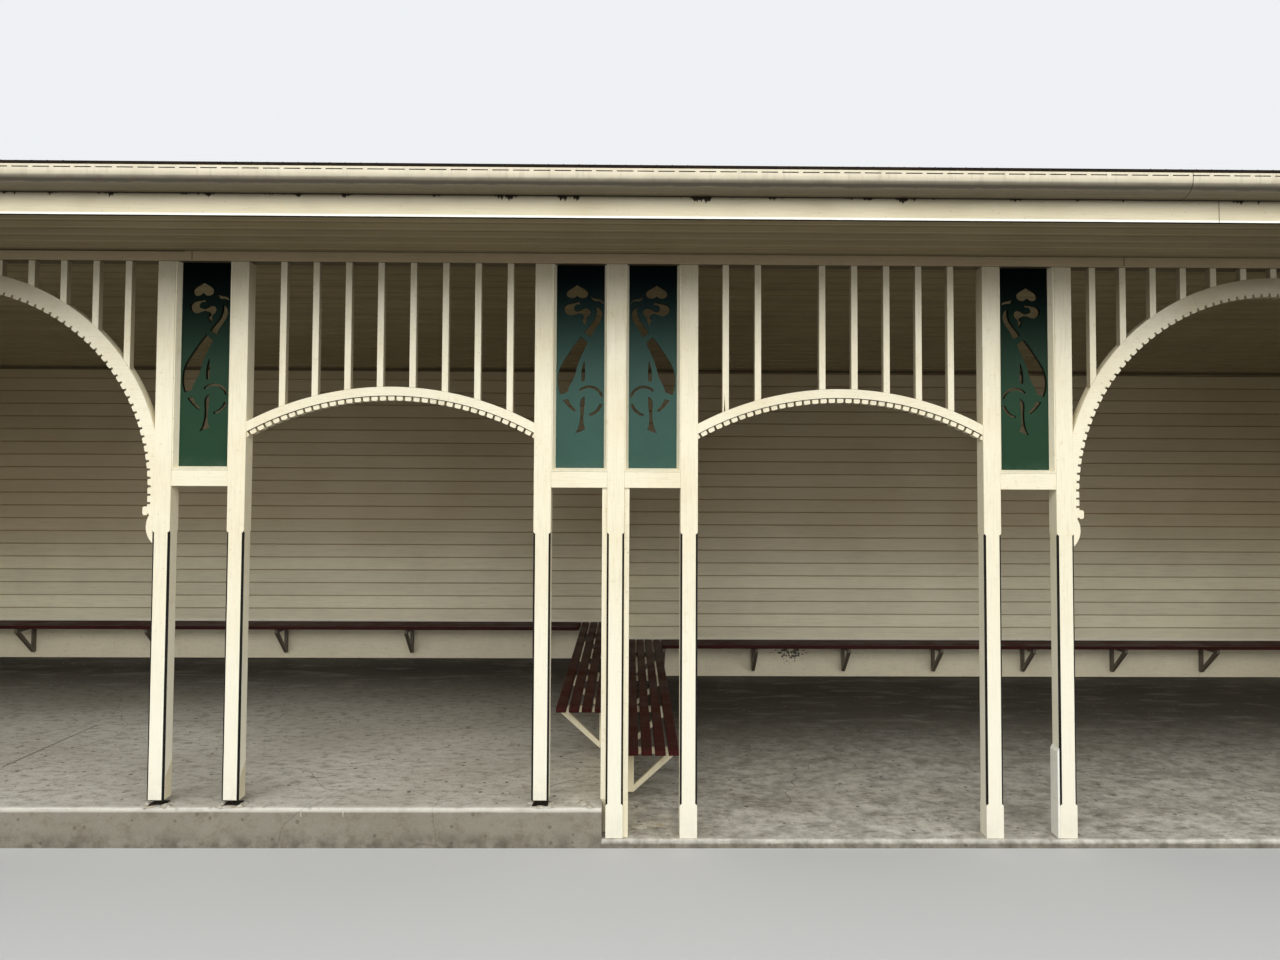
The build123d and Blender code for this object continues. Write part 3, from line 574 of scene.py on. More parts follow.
def painted_steel(name, belly):
    """Cream paint on the folded gutters, with a dirty line along the belly, painted shade on and under the
    belly, and a painted shade line where the gutter meets the fascia.
    """
    paint = Paint(name, srgb(204, 194, 168))
    patches = paint.effect("clouds", scale=5.0, low=0.4, high=0.7)
    paint.over(patches, srgb(176, 166, 140), 0.35)
    # Painted shade: darker going down into the belly
    paint.over(paint.ranged(paint.z, belly, belly + 0.026, 0.35, 0.0), srgb(130, 121, 102))
    wavy = paint.maths("ADD", paint.z, paint.times(paint.noised(paint.place, 14.0, 4.0), 0.01))
    line = paint.times(paint.ranged(wavy, belly - 0.014, belly - 0.004),
                       paint.ranged(wavy, belly + 0.004, belly + 0.04, 1.0, 0.0))
    paint.over(line, srgb(50, 42, 30), 0.85)
    # Painted shade under the belly
    paint.over(paint.ranged(wavy, belly - 0.014, belly - 0.004, 1.0, 0.0), srgb(106, 92, 66), 0.75)
    paint.over(paint.effect("streaks", stretch=(9.0, 9.0, 0.8), scale=5.0), GRIME, 0.14)
    # Painted shade in the corner against the fascia
    depth = paint.maths("ABSOLUTE", paint.y)
    paint.over(paint.ranged(depth, FASCIA_BACK + 0.01, FASCIA_BACK + 0.02, 0.85, 0.0), BLACK_PAINT_AND_SHADE)
    paint.roughened(patches, 0.35, 0.5)
    paint.bumped(patches, 0.0005)
    return paint


NOSE_CLEAR = 0.004
NOSE_SHADE = 0.04


def galvanised():
    """Weathered zinc on the sheets: spangle, dull streaks down the slope, rusty laps, and painted shade
    darkening the noses over the gutters.
    """
    paint = Paint("weathered zinc", srgb(112, 115, 116))
    cells = paint.node("ShaderNodeTexVoronoi", {"Vector": paint.place, "Scale": 55.0})
    spangle = paint.node("ShaderNodeSeparateColor", {0: cells.outputs["Color"]}).outputs[0]
    runs = paint.brushed((10.0, 0.5, 0.5), 3.5)
    paint.over(spangle, srgb(128, 131, 132))
    paint.over(paint.ranged(runs, 0.45, 0.75, 0.0, 0.45), srgb(84, 81, 74))
    paint.over(paint.effect("clouds", scale=0.8, low=0.42, high=0.7), srgb(142, 142, 136), 0.35)
    paint.over(paint.effect("clouds", scale=2.2, low=0.66, high=0.74), RUST, 0.6)
    # Painted shade: the noses of the sheets darkened over the gutters
    front = paint.ranged(paint.y, EAVE_NOSE + NOSE_CLEAR, EAVE_NOSE + NOSE_SHADE, 0.92, 0.0)
    back = paint.ranged(paint.y, BACK_NOSE - NOSE_SHADE, BACK_NOSE - NOSE_CLEAR, 0.0, 0.92)
    paint.over(paint.maths("MAXIMUM", front, back), BLACK_DIRT_AND_SHADE)
    paint.shade("Metallic", 0.4)
    paint.roughened(runs, 0.5, 0.75, 0.3, 0.8)
    paint.bumped(runs, 0.0006)
    return paint


def clouded(name, colour, other, share, scale, low, high):
    """A plain material in two tones, and the patches in which they lie."""
    paint = Paint(name, colour)
    patches = paint.effect("clouds", scale=scale, low=low, high=high)
    paint.over(patches, other, share)
    return paint, patches


def near_black():
    """Near-black crust: painted shade in the strips along the eaves, and black paint, joints and gaps
    elsewhere.
    """
    paint, crust = clouded("black dirt and painted shade", BLACK_DIRT_AND_SHADE, srgb(52, 42, 30), 0.5, 18.0, 0.4, 0.64)
    paint.shade("Specular IOR Level", 0.1)
    paint.roughened(crust, 0.8, 0.95)
    paint.bumped(crust, 0.001)
    return paint


def dark_steel():
    """Old black paint and rust on the shoes and bolts."""
    paint, rust = clouded("shoe steel", srgb(24, 23, 23), srgb(70, 50, 38), 0.6, 26.0, 0.42, 0.6)
    paint.shade("Metallic", 0.3)
    paint.roughened(rust, 0.45, 0.85)
    paint.bumped(rust, 0.0008)
    return paint


def mortar():
    """Smeared white mortar with ochre dirt."""
    paint, dirt = clouded("white mortar", srgb(206, 203, 192), srgb(162, 140, 96), 0.75, 30.0, 0.4, 0.66)
    paint.roughened(dirt, 0.7, 0.9)
    paint.bumped(paint.noised(paint.place, 120.0, 4.0), 0.003)
    return paint


def sawn_timber():
    """Unpainted sawn softwood of the hidden roof frame."""
    paint = Paint("sawn timber", srgb(150, 116, 78))
    grain = paint.brushed((9.0, 0.8, 9.0), 10.0)
    paint.over(grain, srgb(196, 166, 122))
    paint.roughened(grain, 0.7, 0.9)
    paint.bumped(grain, 0.001)
    return paint


PAINTS = {
    "zinc": galvanised(), "steel": dark_steel(), "black_and_shade": near_black(), "sawn": sawn_timber(), "mortar": mortar(),
    "left floor": concrete("raised slab concrete", LEFT_FLOOR, 0.9, 0.4),
    "right floor": concrete("low slab concrete", RIGHT_FLOOR, 0.35, 1.1),
}


# Pieces


def piece(name, bm, paint, smooth=False):
    """Turn a bmesh into a finished piece that rides on the building."""
    mesh = bpy.data.meshes.new(name)
    bm.normal_update()
    bm.to_mesh(mesh)
    bm.free()
    made = bpy.data.objects.new(name, mesh)
    bpy.context.scene.collection.objects.link(made)
    mesh.materials.append(paint.material)
    if smooth:
        mesh.shade_smooth()
    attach(made, "root")
    return made


def box_into(bm, low, high):
    """A box between two corners."""
    size = [b - a for a, b in zip(low, high)]
    middle = [(a + b) / 2 for a, b in zip(low, high)]
    place = Matrix.Translation(middle) @ Matrix.Diagonal((*size, 1))
    bmesh.ops.create_cube(bm, size=1, matrix=place)


def boxed(name, paint, boxes):
    """A piece made of boxes, each given by its two corners."""
    bm = bmesh.new()
    for low, high in boxes:
        box_into(bm, low, high)
    return piece(name, bm, paint)


def drawn_out(bm, points, way):
    """A closed outline of points drawn out along a vector into a solid."""
    corners = [bm.verts.new(p) for p in points]
    made = bmesh.ops.extrude_face_region(bm, geom=[bm.faces.new(corners)])
    moved = [g for g in made["geom"] if isinstance(g, bmesh.types.BMVert)]
    bmesh.ops.translate(bm, verts=moved, vec=way)
    faces = {f for v in corners + moved for f in v.link_faces}
    bmesh.ops.recalc_face_normals(bm, faces=list(faces))


def pulled(bm, edges, way):
    """A row of edges drawn out along a vector into faces; gives the row's far edges."""
    made = bmesh.ops.extrude_edge_only(bm, edges=edges)["geom"]
    moved = [g for g in made if isinstance(g, bmesh.types.BMVert)]
    far = [g for g in made
           if isinstance(g, bmesh.types.BMEdge) and all(v in moved for v in g.verts)]
    bmesh.ops.translate(bm, verts=moved, vec=way)
    return far


def cut(bm, point, normal):
    """Cut away what lies beyond a plane and close the hole."""
    geom = bm.verts[:] + bm.edges[:] + bm.faces[:]
    made = bmesh.ops.bisect_plane(bm, geom=geom, plane_co=point, plane_no=normal, clear_outer=True)
    edges = [g for g in made["geom_cut"] if isinstance(g, bmesh.types.BMEdge)]
    bmesh.ops.holes_fill(bm, edges=edges)


def rounded(bm, edges, width, segments):
    bmesh.ops.bevel(bm, geom=edges, offset=width, offset_type="OFFSET", affect="EDGES", segments=segments,
                    profile=0.5, material=-1, clamp_overlap=True)


WELD = 0.00002
FLAT_ANGLE = math.radians(1)
SHARP_ANGLE = math.radians(32)


def eased(node_name, paint, width, segments=2):
    """A copy of a solid with its arrises rounded, shown in its place."""
    bm = bmesh.new()
    bm.from_mesh(NODES[node_name].data)
    bmesh.ops.remove_doubles(bm, verts=bm.verts, dist=WELD)
    bmesh.ops.dissolve_limit(bm, angle_limit=FLAT_ANGLE, verts=bm.verts, edges=bm.edges)
    sharp = [e for e in bm.edges if len(e.link_faces) == 2 and e.calc_face_angle(0) > SHARP_ANGLE]
    rounded(bm, sharp, width, segments)
    made = piece(node_name + "_eased", bm, paint)
    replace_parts(made, node_name)


LAP_THICK = 0.012
LAP_COVER = 0.1295
LAP_GROOVE = 0.009
PARTITION_LAP = 0.008


def lap_outline(height, cover, thick):
    """Heights and stand-offs of shiplap boards, from the foot up."""
    foot_out = thick * 0.55
    board = ((0.0, foot_out), (0.0035, thick), (cover - LAP_GROOVE, thick), (cover - 0.003, thick * 0.4))
    points = [(0.0, 0.0)]
    foot = 0.0
    while foot < height:
        top = min(foot + cover, height)
        points += [(foot + up, out) for up, out in board if foot + up < height]
        foot = top if top < height else height
    return points + [(height, foot_out), (height, 0.0)]


def lap_wall(bm, corner, along, out, height, cover=LAP_COVER, thick=LAP_THICK):
    """Shiplap boards on a wall: corner is the low end of the wall, along its full run."""
    outline = lap_outline(height, cover, thick)
    points = [Vector(corner) + Vector((0, 0, up)) + Vector(out) * off for up, off in outline]
    drawn_out(bm, points, Vector(along))


SEAT_CLEAR = 0.006
SEAT_BEAD = 0.02
DADO_SHEET = 0.004
DADO_JOINT = 1.55
DADO_PITCH = 1.46
DADO_SHEETS = 5
DADO_GAP = 0.002
WALL_DARK_FROM = 0.75
WALL_DARK_FULL = 1.9
WALL_DARK = 0.62


def inner_walls():
    """Shiplap above the seats and smooth sheets below them."""
    pale = painted_timber("seat bead paint", srgb(255, 249, 224), "x", dirt=0.2)
    smooth = with_mould(painted_timber("dado paint", srgb(244, 232, 200), "x", dirt=0.9))
    for word, side, floor in ENDS:
        foot = floor + SEAT + SEAT_CLEAR
        lined = boards_paint(f"inner wall paint {word}", WALL_CREAM, "Z", foot, LAP_COVER, joint=LAP_GROOVE,
                             joint_painted_light=WALL_GROOVE_SHADE)
        lined.over(lined.ranged(lined.z, WALL_DARK_FROM, WALL_DARK_FULL, 0.0, WALL_DARK), WALL_SHADE)
        near_wall = side * PARTITION
        bm = bmesh.new()
        run = side * (INNER - PARTITION)
        lap_wall(bm, (near_wall, BACK, foot), (run, 0, 0), (0, -1, 0), ceiling_foot(BACK) - foot)
        piece(f"back_lining_{word}", bm, lined)
        flanks = (("end", side * INNER, -side, LAP_THICK), ("partition", near_wall, side, PARTITION_LAP))
        for name, x, out, thick in flanks:
            bm = bmesh.new()
            lap_wall(bm, (x, POST_BACK, foot), (0, BACK - POST_BACK, 0), (out, 0, 0),
                     CEILING_PEAK - foot, thick=thick)
            for slope in (SLOPE, -SLOPE):
                cut(bm, (x, RIDGE, CEILING_PEAK - 0.001), (0, slope, 1))
            piece(f"{name}_lining_{word}", bm, lined)
        joints_at = [PARTITION, *(DADO_JOINT + DADO_PITCH * k for k in range(DADO_SHEETS)), INNER]
        low, high = floor + DADO_GAP, foot - 2 * DADO_GAP
        boxes = []
        for near, far in zip(joints_at, joints_at[1:]):
            x0, x1 = sorted((side * (near + DADO_GAP), side * (far - DADO_GAP)))
            boxes.append(((x0, BACK - DADO_SHEET, low), (x1, BACK, high)))
        for name, x, out, thick in flanks:
            x0, x1 = sorted((x, x + out * DADO_SHEET))
            boxes.append(((x0, POST_BACK, low), (x1, BACK - 0.005, high)))
        boxed(f"dado_{word}", smooth, boxes)
        x0, x1 = sorted((side * (PARTITION + 0.01), side * (INNER - 0.014)))
        bead = (x0, BACK - LAP_THICK - 0.006, foot - 0.002), (x1, BACK - DADO_SHEET, foot + SEAT_BEAD)
        boxed(f"seat_bead_{word}", pale, [bead])
        gap = (x0, BACK - DADO_SHEET - 0.002, floor), (x1, BACK - DADO_SHEET + 0.001, floor + 0.006)
        boxed(f"dado_gap_{word}", PAINTS["black_and_shade"], [gap])


WEATHER_COVER = 0.15
WEATHER_THICK = 0.014
STOP_THICK = 0.022
STOP_WIDTH = 0.05


def outer_walls():
    """Weatherboards and corner stops on the back and the ends."""
    paint = boards_paint("outer wall paint", CREAM, "Z", 0.0, WEATHER_COVER, spread=0.05, foot=0.1)
    stops = painted_timber("corner stop paint", CREAM, "z", foot=0.1)
    for word, side, floor in ENDS:
        bm = bmesh.new()
        lap_wall(bm, (SLAB_END, OUTER, floor), (side * HALF - SLAB_END, 0, 0), (0, 1, 0), BACK_SOFFIT - floor,
                 WEATHER_COVER, WEATHER_THICK)
        piece(f"back_boards_{word}", bm, paint)
        bm = bmesh.new()
        lap_wall(bm, (side * HALF, POST_BACK, floor), (0, OUTER - POST_BACK, 0), (side, 0, 0),
                 CEILING_PEAK + 0.03 - floor, WEATHER_COVER, WEATHER_THICK)
        for slope in (SLOPE, -SLOPE):
            cut(bm, (side * HALF, RIDGE, CEILING_PEAK + LINING * PLUMB - 0.001), (0, slope, 1))
        piece(f"end_boards_{word}", bm, paint)
        x0, x1 = sorted((side * (HALF - STOP_WIDTH), side * (HALF + STOP_THICK)))
        boxes = [((x0, OUTER, floor), (x1, OUTER + STOP_THICK, BACK_SOFFIT))]
        x0, x1 = sorted((side * HALF, side * (HALF + STOP_THICK)))
        boxes.append(((x0, OUTER - STOP_WIDTH, floor), (x1, OUTER, BACK_SOFFIT)))
        boxes.append(((x0, FRONT + 0.004, floor), (x1, POST_BACK + 0.03, SOFFIT)))
        boxed(f"corner_stops_{word}", stops, boxes)


SOFFIT_COVER = 0.15
CEILING_COVER = 0.13


def beaded_boards(bm, corner, across, down, along, width, cover):
    """Boards with a bead and a groove at each joint; across runs over their widths."""
    corner, across, down = Vector(corner), Vector(across), Vector(down)
    count = round(width / cover)
    cover = width / count
    bead = ((0.004, 0.0045), (cover - 0.014, 0.0045), (cover - 0.012, 0.0), (cover - 0.004, 0.0),
            (cover, 0.008))
    points = [corner]
    for k in range(count):
        points += [corner + across * (k * cover + share) + down * (LINING - sink) for share, sink in bead]
    drawn_out(bm, points + [corner + across * width], Vector(along))


def undersides():
    """Soffit and ceiling boards in place of the plain plates."""
    soffit = boards_paint("soffit paint", srgb(164, 148, 112), "Y", FASCIA_FACE, SOFFIT_COVER, joint=0.007,
                          joint_painted_light=SOFFIT_BEAD_HIGHLIGHT)
    reach = ROOF_HALF - FASCIA
    bm = bmesh.new()
    for foot, near, far in ((SOFFIT, FASCIA_FACE + FASCIA, FRONT),
                            (BACK_SOFFIT, OUTER, FASCIA_BACK - FASCIA)):
        beaded_boards(bm, (-reach, near, foot + LINING), (0, 1, 0), (0, 0, -1), (2 * reach, 0, 0), far - near,
                      SOFFIT_COVER)
    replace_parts(piece("soffit_boards", bm, soffit), "soffits")
    ceiling = boards_paint("ceiling paint", srgb(162, 148, 114), "Y", BACK, CEILING_COVER)
    bm = bmesh.new()
    for edge, way in ((POST_BACK, 1), (BACK, -1)):
        across = Vector((0, way * math.cos(PITCH), math.sin(PITCH)))
        down = Vector((0, way * math.sin(PITCH), -math.cos(PITCH)))
        low = Vector((-INNER, edge, ceiling_foot(edge))) - down * LINING
        beaded_boards(bm, low, across, down, (2 * INNER, 0, 0), abs(RIDGE - edge) * PLUMB, CEILING_COVER)
    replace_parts(piece("ceiling_boards", bm, ceiling), "ceiling")


CORRUGATION = 0.0762
SHEET_COVER = 0.762
SHEET_STEPS = 8
SHEET_STEEL = 0.0008
SHEET_LIFT = 0.0011
WAVE = SHEET / 2 - 0.0015


def slope_of(nose):
    """The length of a roof slope, and the height of its crests at the eave."""
    run = abs(RIDGE - nose) * PLUMB
    return run, ROOF_TOP - run * math.sin(PITCH)


def corrugated(name, node_name, nose, way):
    """Corrugated sheets side by side on one slope, from the eave to the ridge."""
    run, crest = slope_of(nose)
    bm = bmesh.new()
    for k in range(math.ceil(2 * ROOF_HALF / SHEET_COVER)):
        left = -ROOF_HALF + k * SHEET_COVER
        right = min(left + SHEET_COVER + 0.5 * CORRUGATION, ROOF_HALF)
        columns = max(2, round((right - left) / CORRUGATION * SHEET_STEPS))
        lift = 0.0 if k % 2 else SHEET_LIFT
        place = Matrix.Translation(((left + right) / 2, run / 2, 0))
        place = place @ Matrix.Diagonal(((right - left) / 2, run / 2, 1, 1))
        made = bmesh.ops.create_grid(bm, x_segments=columns, y_segments=2, size=1, matrix=place)
        for v in made["verts"]:
            v.co.z = lift + WAVE * math.cos(2 * math.pi * (v.co.x + ROOF_HALF) / CORRUGATION)
    turn = Matrix.Rotation(PITCH, 4, "X")
    if way < 0:
        turn = Matrix.Diagonal((1, -1, 1, 1)) @ turn
    bmesh.ops.translate(bm, verts=bm.verts, vec=(0, 0, -SHEET / 2))
    bmesh.ops.transform(bm, matrix=Matrix.Translation((0, nose, crest)) @ turn, verts=bm.verts)
    if way < 0:
        bmesh.ops.reverse_faces(bm, faces=bm.faces)
    bmesh.ops.solidify(bm, geom=bm.faces, thickness=SHEET_STEEL)
    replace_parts(piece(name, bm, PAINTS["zinc"], smooth=True), node_name)


SHADE_STRIP_DROP = 0.012


def eave_shade_strips():
    """Painted shade: dark strips that stand for the shaded ends of the corrugations over each gutter."""
    boxes = []
    reach = ROOF_HALF - 0.01
    for nose, way in SLOPES:
        crest = slope_of(nose)[1]
        y0, y1 = sorted((nose + way * 0.001, nose + way * 0.016))
        boxes.append(((-reach, y0, crest - SHEET - SHADE_STRIP_DROP), (reach, y1, crest - 0.0015)))
    boxed("eave_shade_strips", PAINTS["black_and_shade"], boxes)


SCREW_SPACING = 3 * CORRUGATION
SCREW_FROM_EAVE = 0.12
SCREW_FROM_RIDGE = 0.22
BATTEN_PITCH = 0.88


def roof_screws():
    """Screws through the crests over each batten."""
    bm = bmesh.new()
    rows = int(2 * ROOF_HALF / SCREW_SPACING)
    for nose, way in SLOPES:
        run = slope_of(nose)[0]
        lines = math.ceil((run - 0.3) / BATTEN_PITCH) + 1
        for k in range(lines):
            down = SCREW_FROM_EAVE + (run - SCREW_FROM_EAVE - SCREW_FROM_RIDGE) * k / (lines - 1)
            y = nose + way * down * math.cos(PITCH)
            z = ROOF_TOP - (run - down) * math.sin(PITCH)
            for j in range(rows + 1):
                x = -ROOF_HALF + SCREW_SPACING * j
                place = Matrix.Translation((x, y, z + 0.001)) @ Matrix.Rotation(way * PITCH, 4, "X")
                if abs(x) < ROOF_HALF - 0.01:
                    bmesh.ops.create_cone(bm, cap_ends=True, segments=6, radius1=0.008, radius2=0.005,
                                          depth=0.006, matrix=place)
    piece("roof_screws", bm, PAINTS["zinc"])


SLOT_PITCH = 0.1
SLOT_LENGTH = 0.08
SLOT_LOW = 0.0855
SLOT_HIGH = 0.0905
LIP_TOP = 0.1025
LIP_NECK = LIP_TOP - 0.0065
GUTTER_FLAT = 0.045
GUTTER_BELLY = 0.071
GUTTER_STEPS = 6
GUTTER_STEEL = 0.0016


def gutter_row(bm, x, face, lip, way):
    """Corners of the gutter's outside, from its back top down, round the belly and up to its rolled lip."""
    foot = lip - GUTTER_HEIGHT
    points = [(0.0, lip - foot), (0.0, 0.0), (GUTTER_FLAT, 0.0)]
    for k in range(1, GUTTER_STEPS):
        turn = math.pi / 2 * k / GUTTER_STEPS
        out = GUTTER_FLAT + (GUTTER_WIDTH - GUTTER_FLAT) * math.sin(turn)
        points.append((out, GUTTER_BELLY * (1 - math.cos(turn))))
    points += [(GUTTER_WIDTH, up) for up in (GUTTER_BELLY, SLOT_LOW, SLOT_HIGH, LIP_NECK)]
    points += [(GUTTER_WIDTH - 0.003, LIP_TOP), (GUTTER_WIDTH - 0.009, LIP_TOP)]
    points.append((GUTTER_WIDTH - 0.012, LIP_NECK))
    return [bm.verts.new((x, face + way * out, foot + up)) for out, up in points]


def gutter(name, face, lip, way, paint):
    """A folded quad gutter with a row of overflow slots below its lip."""
    steps = int(2 * ROOF_HALF / SLOT_PITCH)
    margin = (2 * ROOF_HALF - steps * SLOT_PITCH) / 2
    stations = [-ROOF_HALF]
    for k in range(steps):
        first = -ROOF_HALF + margin + k * SLOT_PITCH + (SLOT_PITCH - SLOT_LENGTH) / 2
        stations += [first, first + SLOT_LENGTH]
    stations.append(ROOF_HALF)
    bm = bmesh.new()
    row = gutter_row(bm, stations[0], face, lip, way)
    edges = [bm.edges.new(pair) for pair in zip(row, row[1:])]
    for a, b in zip(stations, stations[1:]):
        edges = pulled(bm, edges, (b - a, 0, 0))
    foot = lip - GUTTER_HEIGHT
    slots = []
    for f in bm.faces:
        middle = f.calc_center_median()
        level = foot + SLOT_LOW < middle.z < foot + SLOT_HIGH
        inside = level and abs(middle.y - face) > GUTTER_WIDTH - 0.001
        along = (middle.x + ROOF_HALF - margin) / SLOT_PITCH
        if inside and abs(along - math.floor(along) - 0.5) < 0.2 and 0 < along < steps:
            slots.append(f)
    bmesh.ops.delete(bm, geom=slots, context="FACES")
    bmesh.ops.recalc_face_normals(bm, faces=bm.faces)
    bmesh.ops.solidify(bm, geom=bm.faces, thickness=GUTTER_STEEL)
    for x in (-ROOF_HALF, ROOF_HALF):
        bm.faces.new(gutter_row(bm, x, face, lip, way))
    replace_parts(piece(name, bm, paint), "gutters")


BELLY_LINE = 0.034


def gutters():
    """The two gutters, and the lapped end of one length of the front gutter over the next."""
    paint = painted_steel("gutter paint", GUTTER_TOP - GUTTER_HEIGHT + BELLY_LINE)
    gutter("gutter_front", FASCIA_FACE, GUTTER_TOP, -1, paint)
    gutter("gutter_back", FASCIA_BACK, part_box("gutters")[0].z + GUTTER_HEIGHT, 1, paint)
    bm = bmesh.new()
    x = at_pixel(GUTTER_JOINT, FASCIA_FACE - GUTTER_WIDTH).x
    row = gutter_row(bm, x, FASCIA_FACE, GUTTER_TOP, -1)
    pulled(bm, [bm.edges.new(pair) for pair in zip(row, row[1:])], (0.003, 0, 0))
    bmesh.ops.recalc_face_normals(bm, faces=bm.faces)
    bmesh.ops.solidify(bm, geom=bm.faces, thickness=-0.0005)
    piece("gutter_joint", bm, PAINTS["steel"])


FLAT_RISE = 0.206
FLAT_FACE = 0.051
DENTIL_SETBACK = 0.011
ARCH_STEPS = 40


def arch_joint_shade():
    """Painted shade: a dark strip in the joint between an arch's face and its row of dentils."""
    bm = bmesh.new()
    y = FRONT + DENTIL_SETBACK - 0.0006
    for k in range(1, 5):
        low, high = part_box(f"flat_arch_{k}")
        half = (high.x - low.x) / 2
        outer = (half ** 2 + FLAT_RISE ** 2) / (2 * FLAT_RISE)
        centre = Vector(((low.x + high.x) / 2, 0, high.z - outer))
        radius = outer - FLAT_FACE
        reach = math.asin(half / radius) - 0.001
        start = Vector((-math.sin(reach), 0, math.cos(reach)))
        near, far = radius - 0.004, radius + 0.0005
        corners = ((near, y), (far, y), (far, y + 0.004), (near, y + 0.004))
        ring = [bm.verts.new(centre + start * r + Vector((0, depth, 0))) for r, depth in corners]
        bmesh.ops.spin(bm, geom=[bm.faces.new(ring)], cent=centre, axis=(0, 1, 0), angle=2 * reach,
                       steps=ARCH_STEPS)
    bmesh.ops.recalc_face_normals(bm, faces=bm.faces)
    piece("arch_joint_shade_lines", bm, PAINTS["steel"])


# Pixels of the photograph that show joints, marks and gaps
KERB_MARKS = ((301, 809), (343, 808))
FLOOR_JOINT = ((2, 767), (97, 725))
SMEARS = ((640, 827, 0.05), (657, 824, 0.09))
TRIM_GAP_END = (185, 251)
FASCIA_JOINT = (1219, 212)
GUTTER_JOINT = (1193, 180)
TRIM_JOINTS = ((192, 256), (1124, 262))

CHAMFER = 0.0085
LAPPED_PAINT = 0.003


def seam(pixel, face, foot, top, width):
    """A dark joint line on a front face, as a box placed by where the photograph shows it."""
    x = at_pixel(pixel, face).x
    return (x - width / 2, face - 0.0004, foot), (x + width / 2, face + 0.003, top)


def dark_lines():
    """Painted shade in the open joints beside the panels' beads, and dark lines for the dropped frieze trim,
    the chamfers' lapped paint and butt joints.
    """
    # Painted shade: dark strips in the gaps between the posts and the panels' beads
    boxes = []
    for k in range(1, 9):
        low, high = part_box(f"fretwork_{k}")
        for x in (low.x, high.x - 0.003):
            boxes.append(((x, low.y - 0.0345, low.z + 0.002), (x + 0.003, low.y - 0.03, high.z - 0.002)))
        boxes.append(((low.x, low.y - 0.0385, low.z - 0.001), (high.x, low.y - 0.034, low.z + 0.0015)))
    boxed("bead_gap_shade", PAINTS["steel"], boxes)

    low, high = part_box("frieze_trim")
    end = at_pixel(TRIM_GAP_END, low.y).x
    gap = (low.x, low.y - 0.0005, high.z - 0.004), (end, low.y + 0.003, high.z)
    boxed("trim_gap", PAINTS["steel"], [gap])

    boxes = []
    top = LEFT_FLOOR + CHAMFER_TOP - 0.008
    right_foot = RIGHT_FLOOR + BASE_BLOCK + 0.008
    for name, foot in (("left_posts", POST_FOOT + 0.002), ("centre_post", right_foot),
                       ("right_posts", right_foot)):
        for x in post_centres(name):
            for side in (-1, 1):
                edge = x + side * (POST / 2 - CHAMFER)
                x0, x1 = sorted((edge, edge - side * LAPPED_PAINT))
                boxes.append(((x0, FRONT - 0.0003, foot), (x1, FRONT + 0.002, top)))
    boxed("chamfer_lines", PAINTS["black_and_shade"], boxes)

    boxes = [seam(FASCIA_JOINT, FASCIA_FACE, SOFFIT - 0.011, SOFFIT + 0.16, 0.003)]
    boxes += [seam(pixel, low.y, HEAD + 0.004, SOFFIT - 0.001, 0.004) for pixel in TRIM_JOINTS]
    boxed("board_joints", PAINTS["steel"], boxes)


def floor_marks():
    """White marks on the kerb, a fine joint across the left floor and a mortar smear by the middle post."""
    bm = bmesh.new()
    for pixel in KERB_MARKS:
        x = at_pixel(pixel, SLAB_FRONT).x
        low = (x - 0.003, SLAB_FRONT - 0.0006, LEFT_FLOOR - 0.05)
        box_into(bm, low, (x + 0.003, SLAB_FRONT + 0.002, LEFT_FLOOR - 0.018))
    for u, v, size in SMEARS:
        lump(bm, on_floor((u, v), RIGHT_FLOOR), (size, 0.5 * size, 0.003), u)
    piece("floor_smears", bm, PAINTS["mortar"])
    bm = bmesh.new()
    near, far = (on_floor(pixel, LEFT_FLOOR) for pixel in FLOOR_JOINT)
    across = Vector((0.002, 0, 0))
    drawn_out(bm, (near - across, near + across, far + across, far - across), Vector((0, 0, 0.0005)))
    piece("floor_joint", bm, PAINTS["black_and_shade"])


ARRIS = 0.014
ARRIS_STEP = 0.06
ARRIS_WEAR = 0.009


def worn_slabs():
    """The floors with their front arrises rounded and worn."""
    for word, side, floor in ENDS:
        name = f"floor_slab_{word}"
        low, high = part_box(name)
        bm = bmesh.new()
        box_into(bm, low, high)
        front = [e for e in bm.edges
                 if all(abs(v.co.y - low.y) + abs(v.co.z - high.z) < 0.001 for v in e.verts)]
        rounded(bm, front, ARRIS, 3)
        for k in range(1, int((high.x - low.x) / ARRIS_STEP)):
            geom = bm.verts[:] + bm.edges[:] + bm.faces[:]
            bmesh.ops.bisect_plane(bm, geom=geom, plane_co=(low.x + k * ARRIS_STEP, 0, 0), plane_no=(1, 0, 0))
        for v in bm.verts:
            near = v.co.y < low.y + 1.5 * ARRIS and v.co.z > high.z - 1.5 * ARRIS and low.x < v.co.x < high.x
            if near and (v.co.y > low.y + 0.001 or v.co.z < high.z - 0.001):
                dent = max(0.0, noise.noise(Vector((v.co.x * 7.0, v.co.z * 30.0, 2.0)))) * ARRIS_WEAR
                v.co += Vector((0, dent if v.co.z < high.z - 0.001 else 0, -dent))
        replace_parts(piece(name + "_worn", bm, PAINTS[f"{word} floor"]), name)


def lump(bm, centre, size, seed):
    """An irregular smear: a sphere pushed about by noise and flattened."""
    made = bmesh.ops.create_icosphere(bm, subdivisions=3, radius=1)
    for v in made["verts"]:
        v.co *= 1 + 0.5 * noise.noise(v.co * 2.1 + Vector((seed, seed * 0.7, 0)))
        v.co = Vector((v.co.x * size[0], v.co.y * size[1], max(v.co.z, -0.25) * size[2])) + Vector(centre)


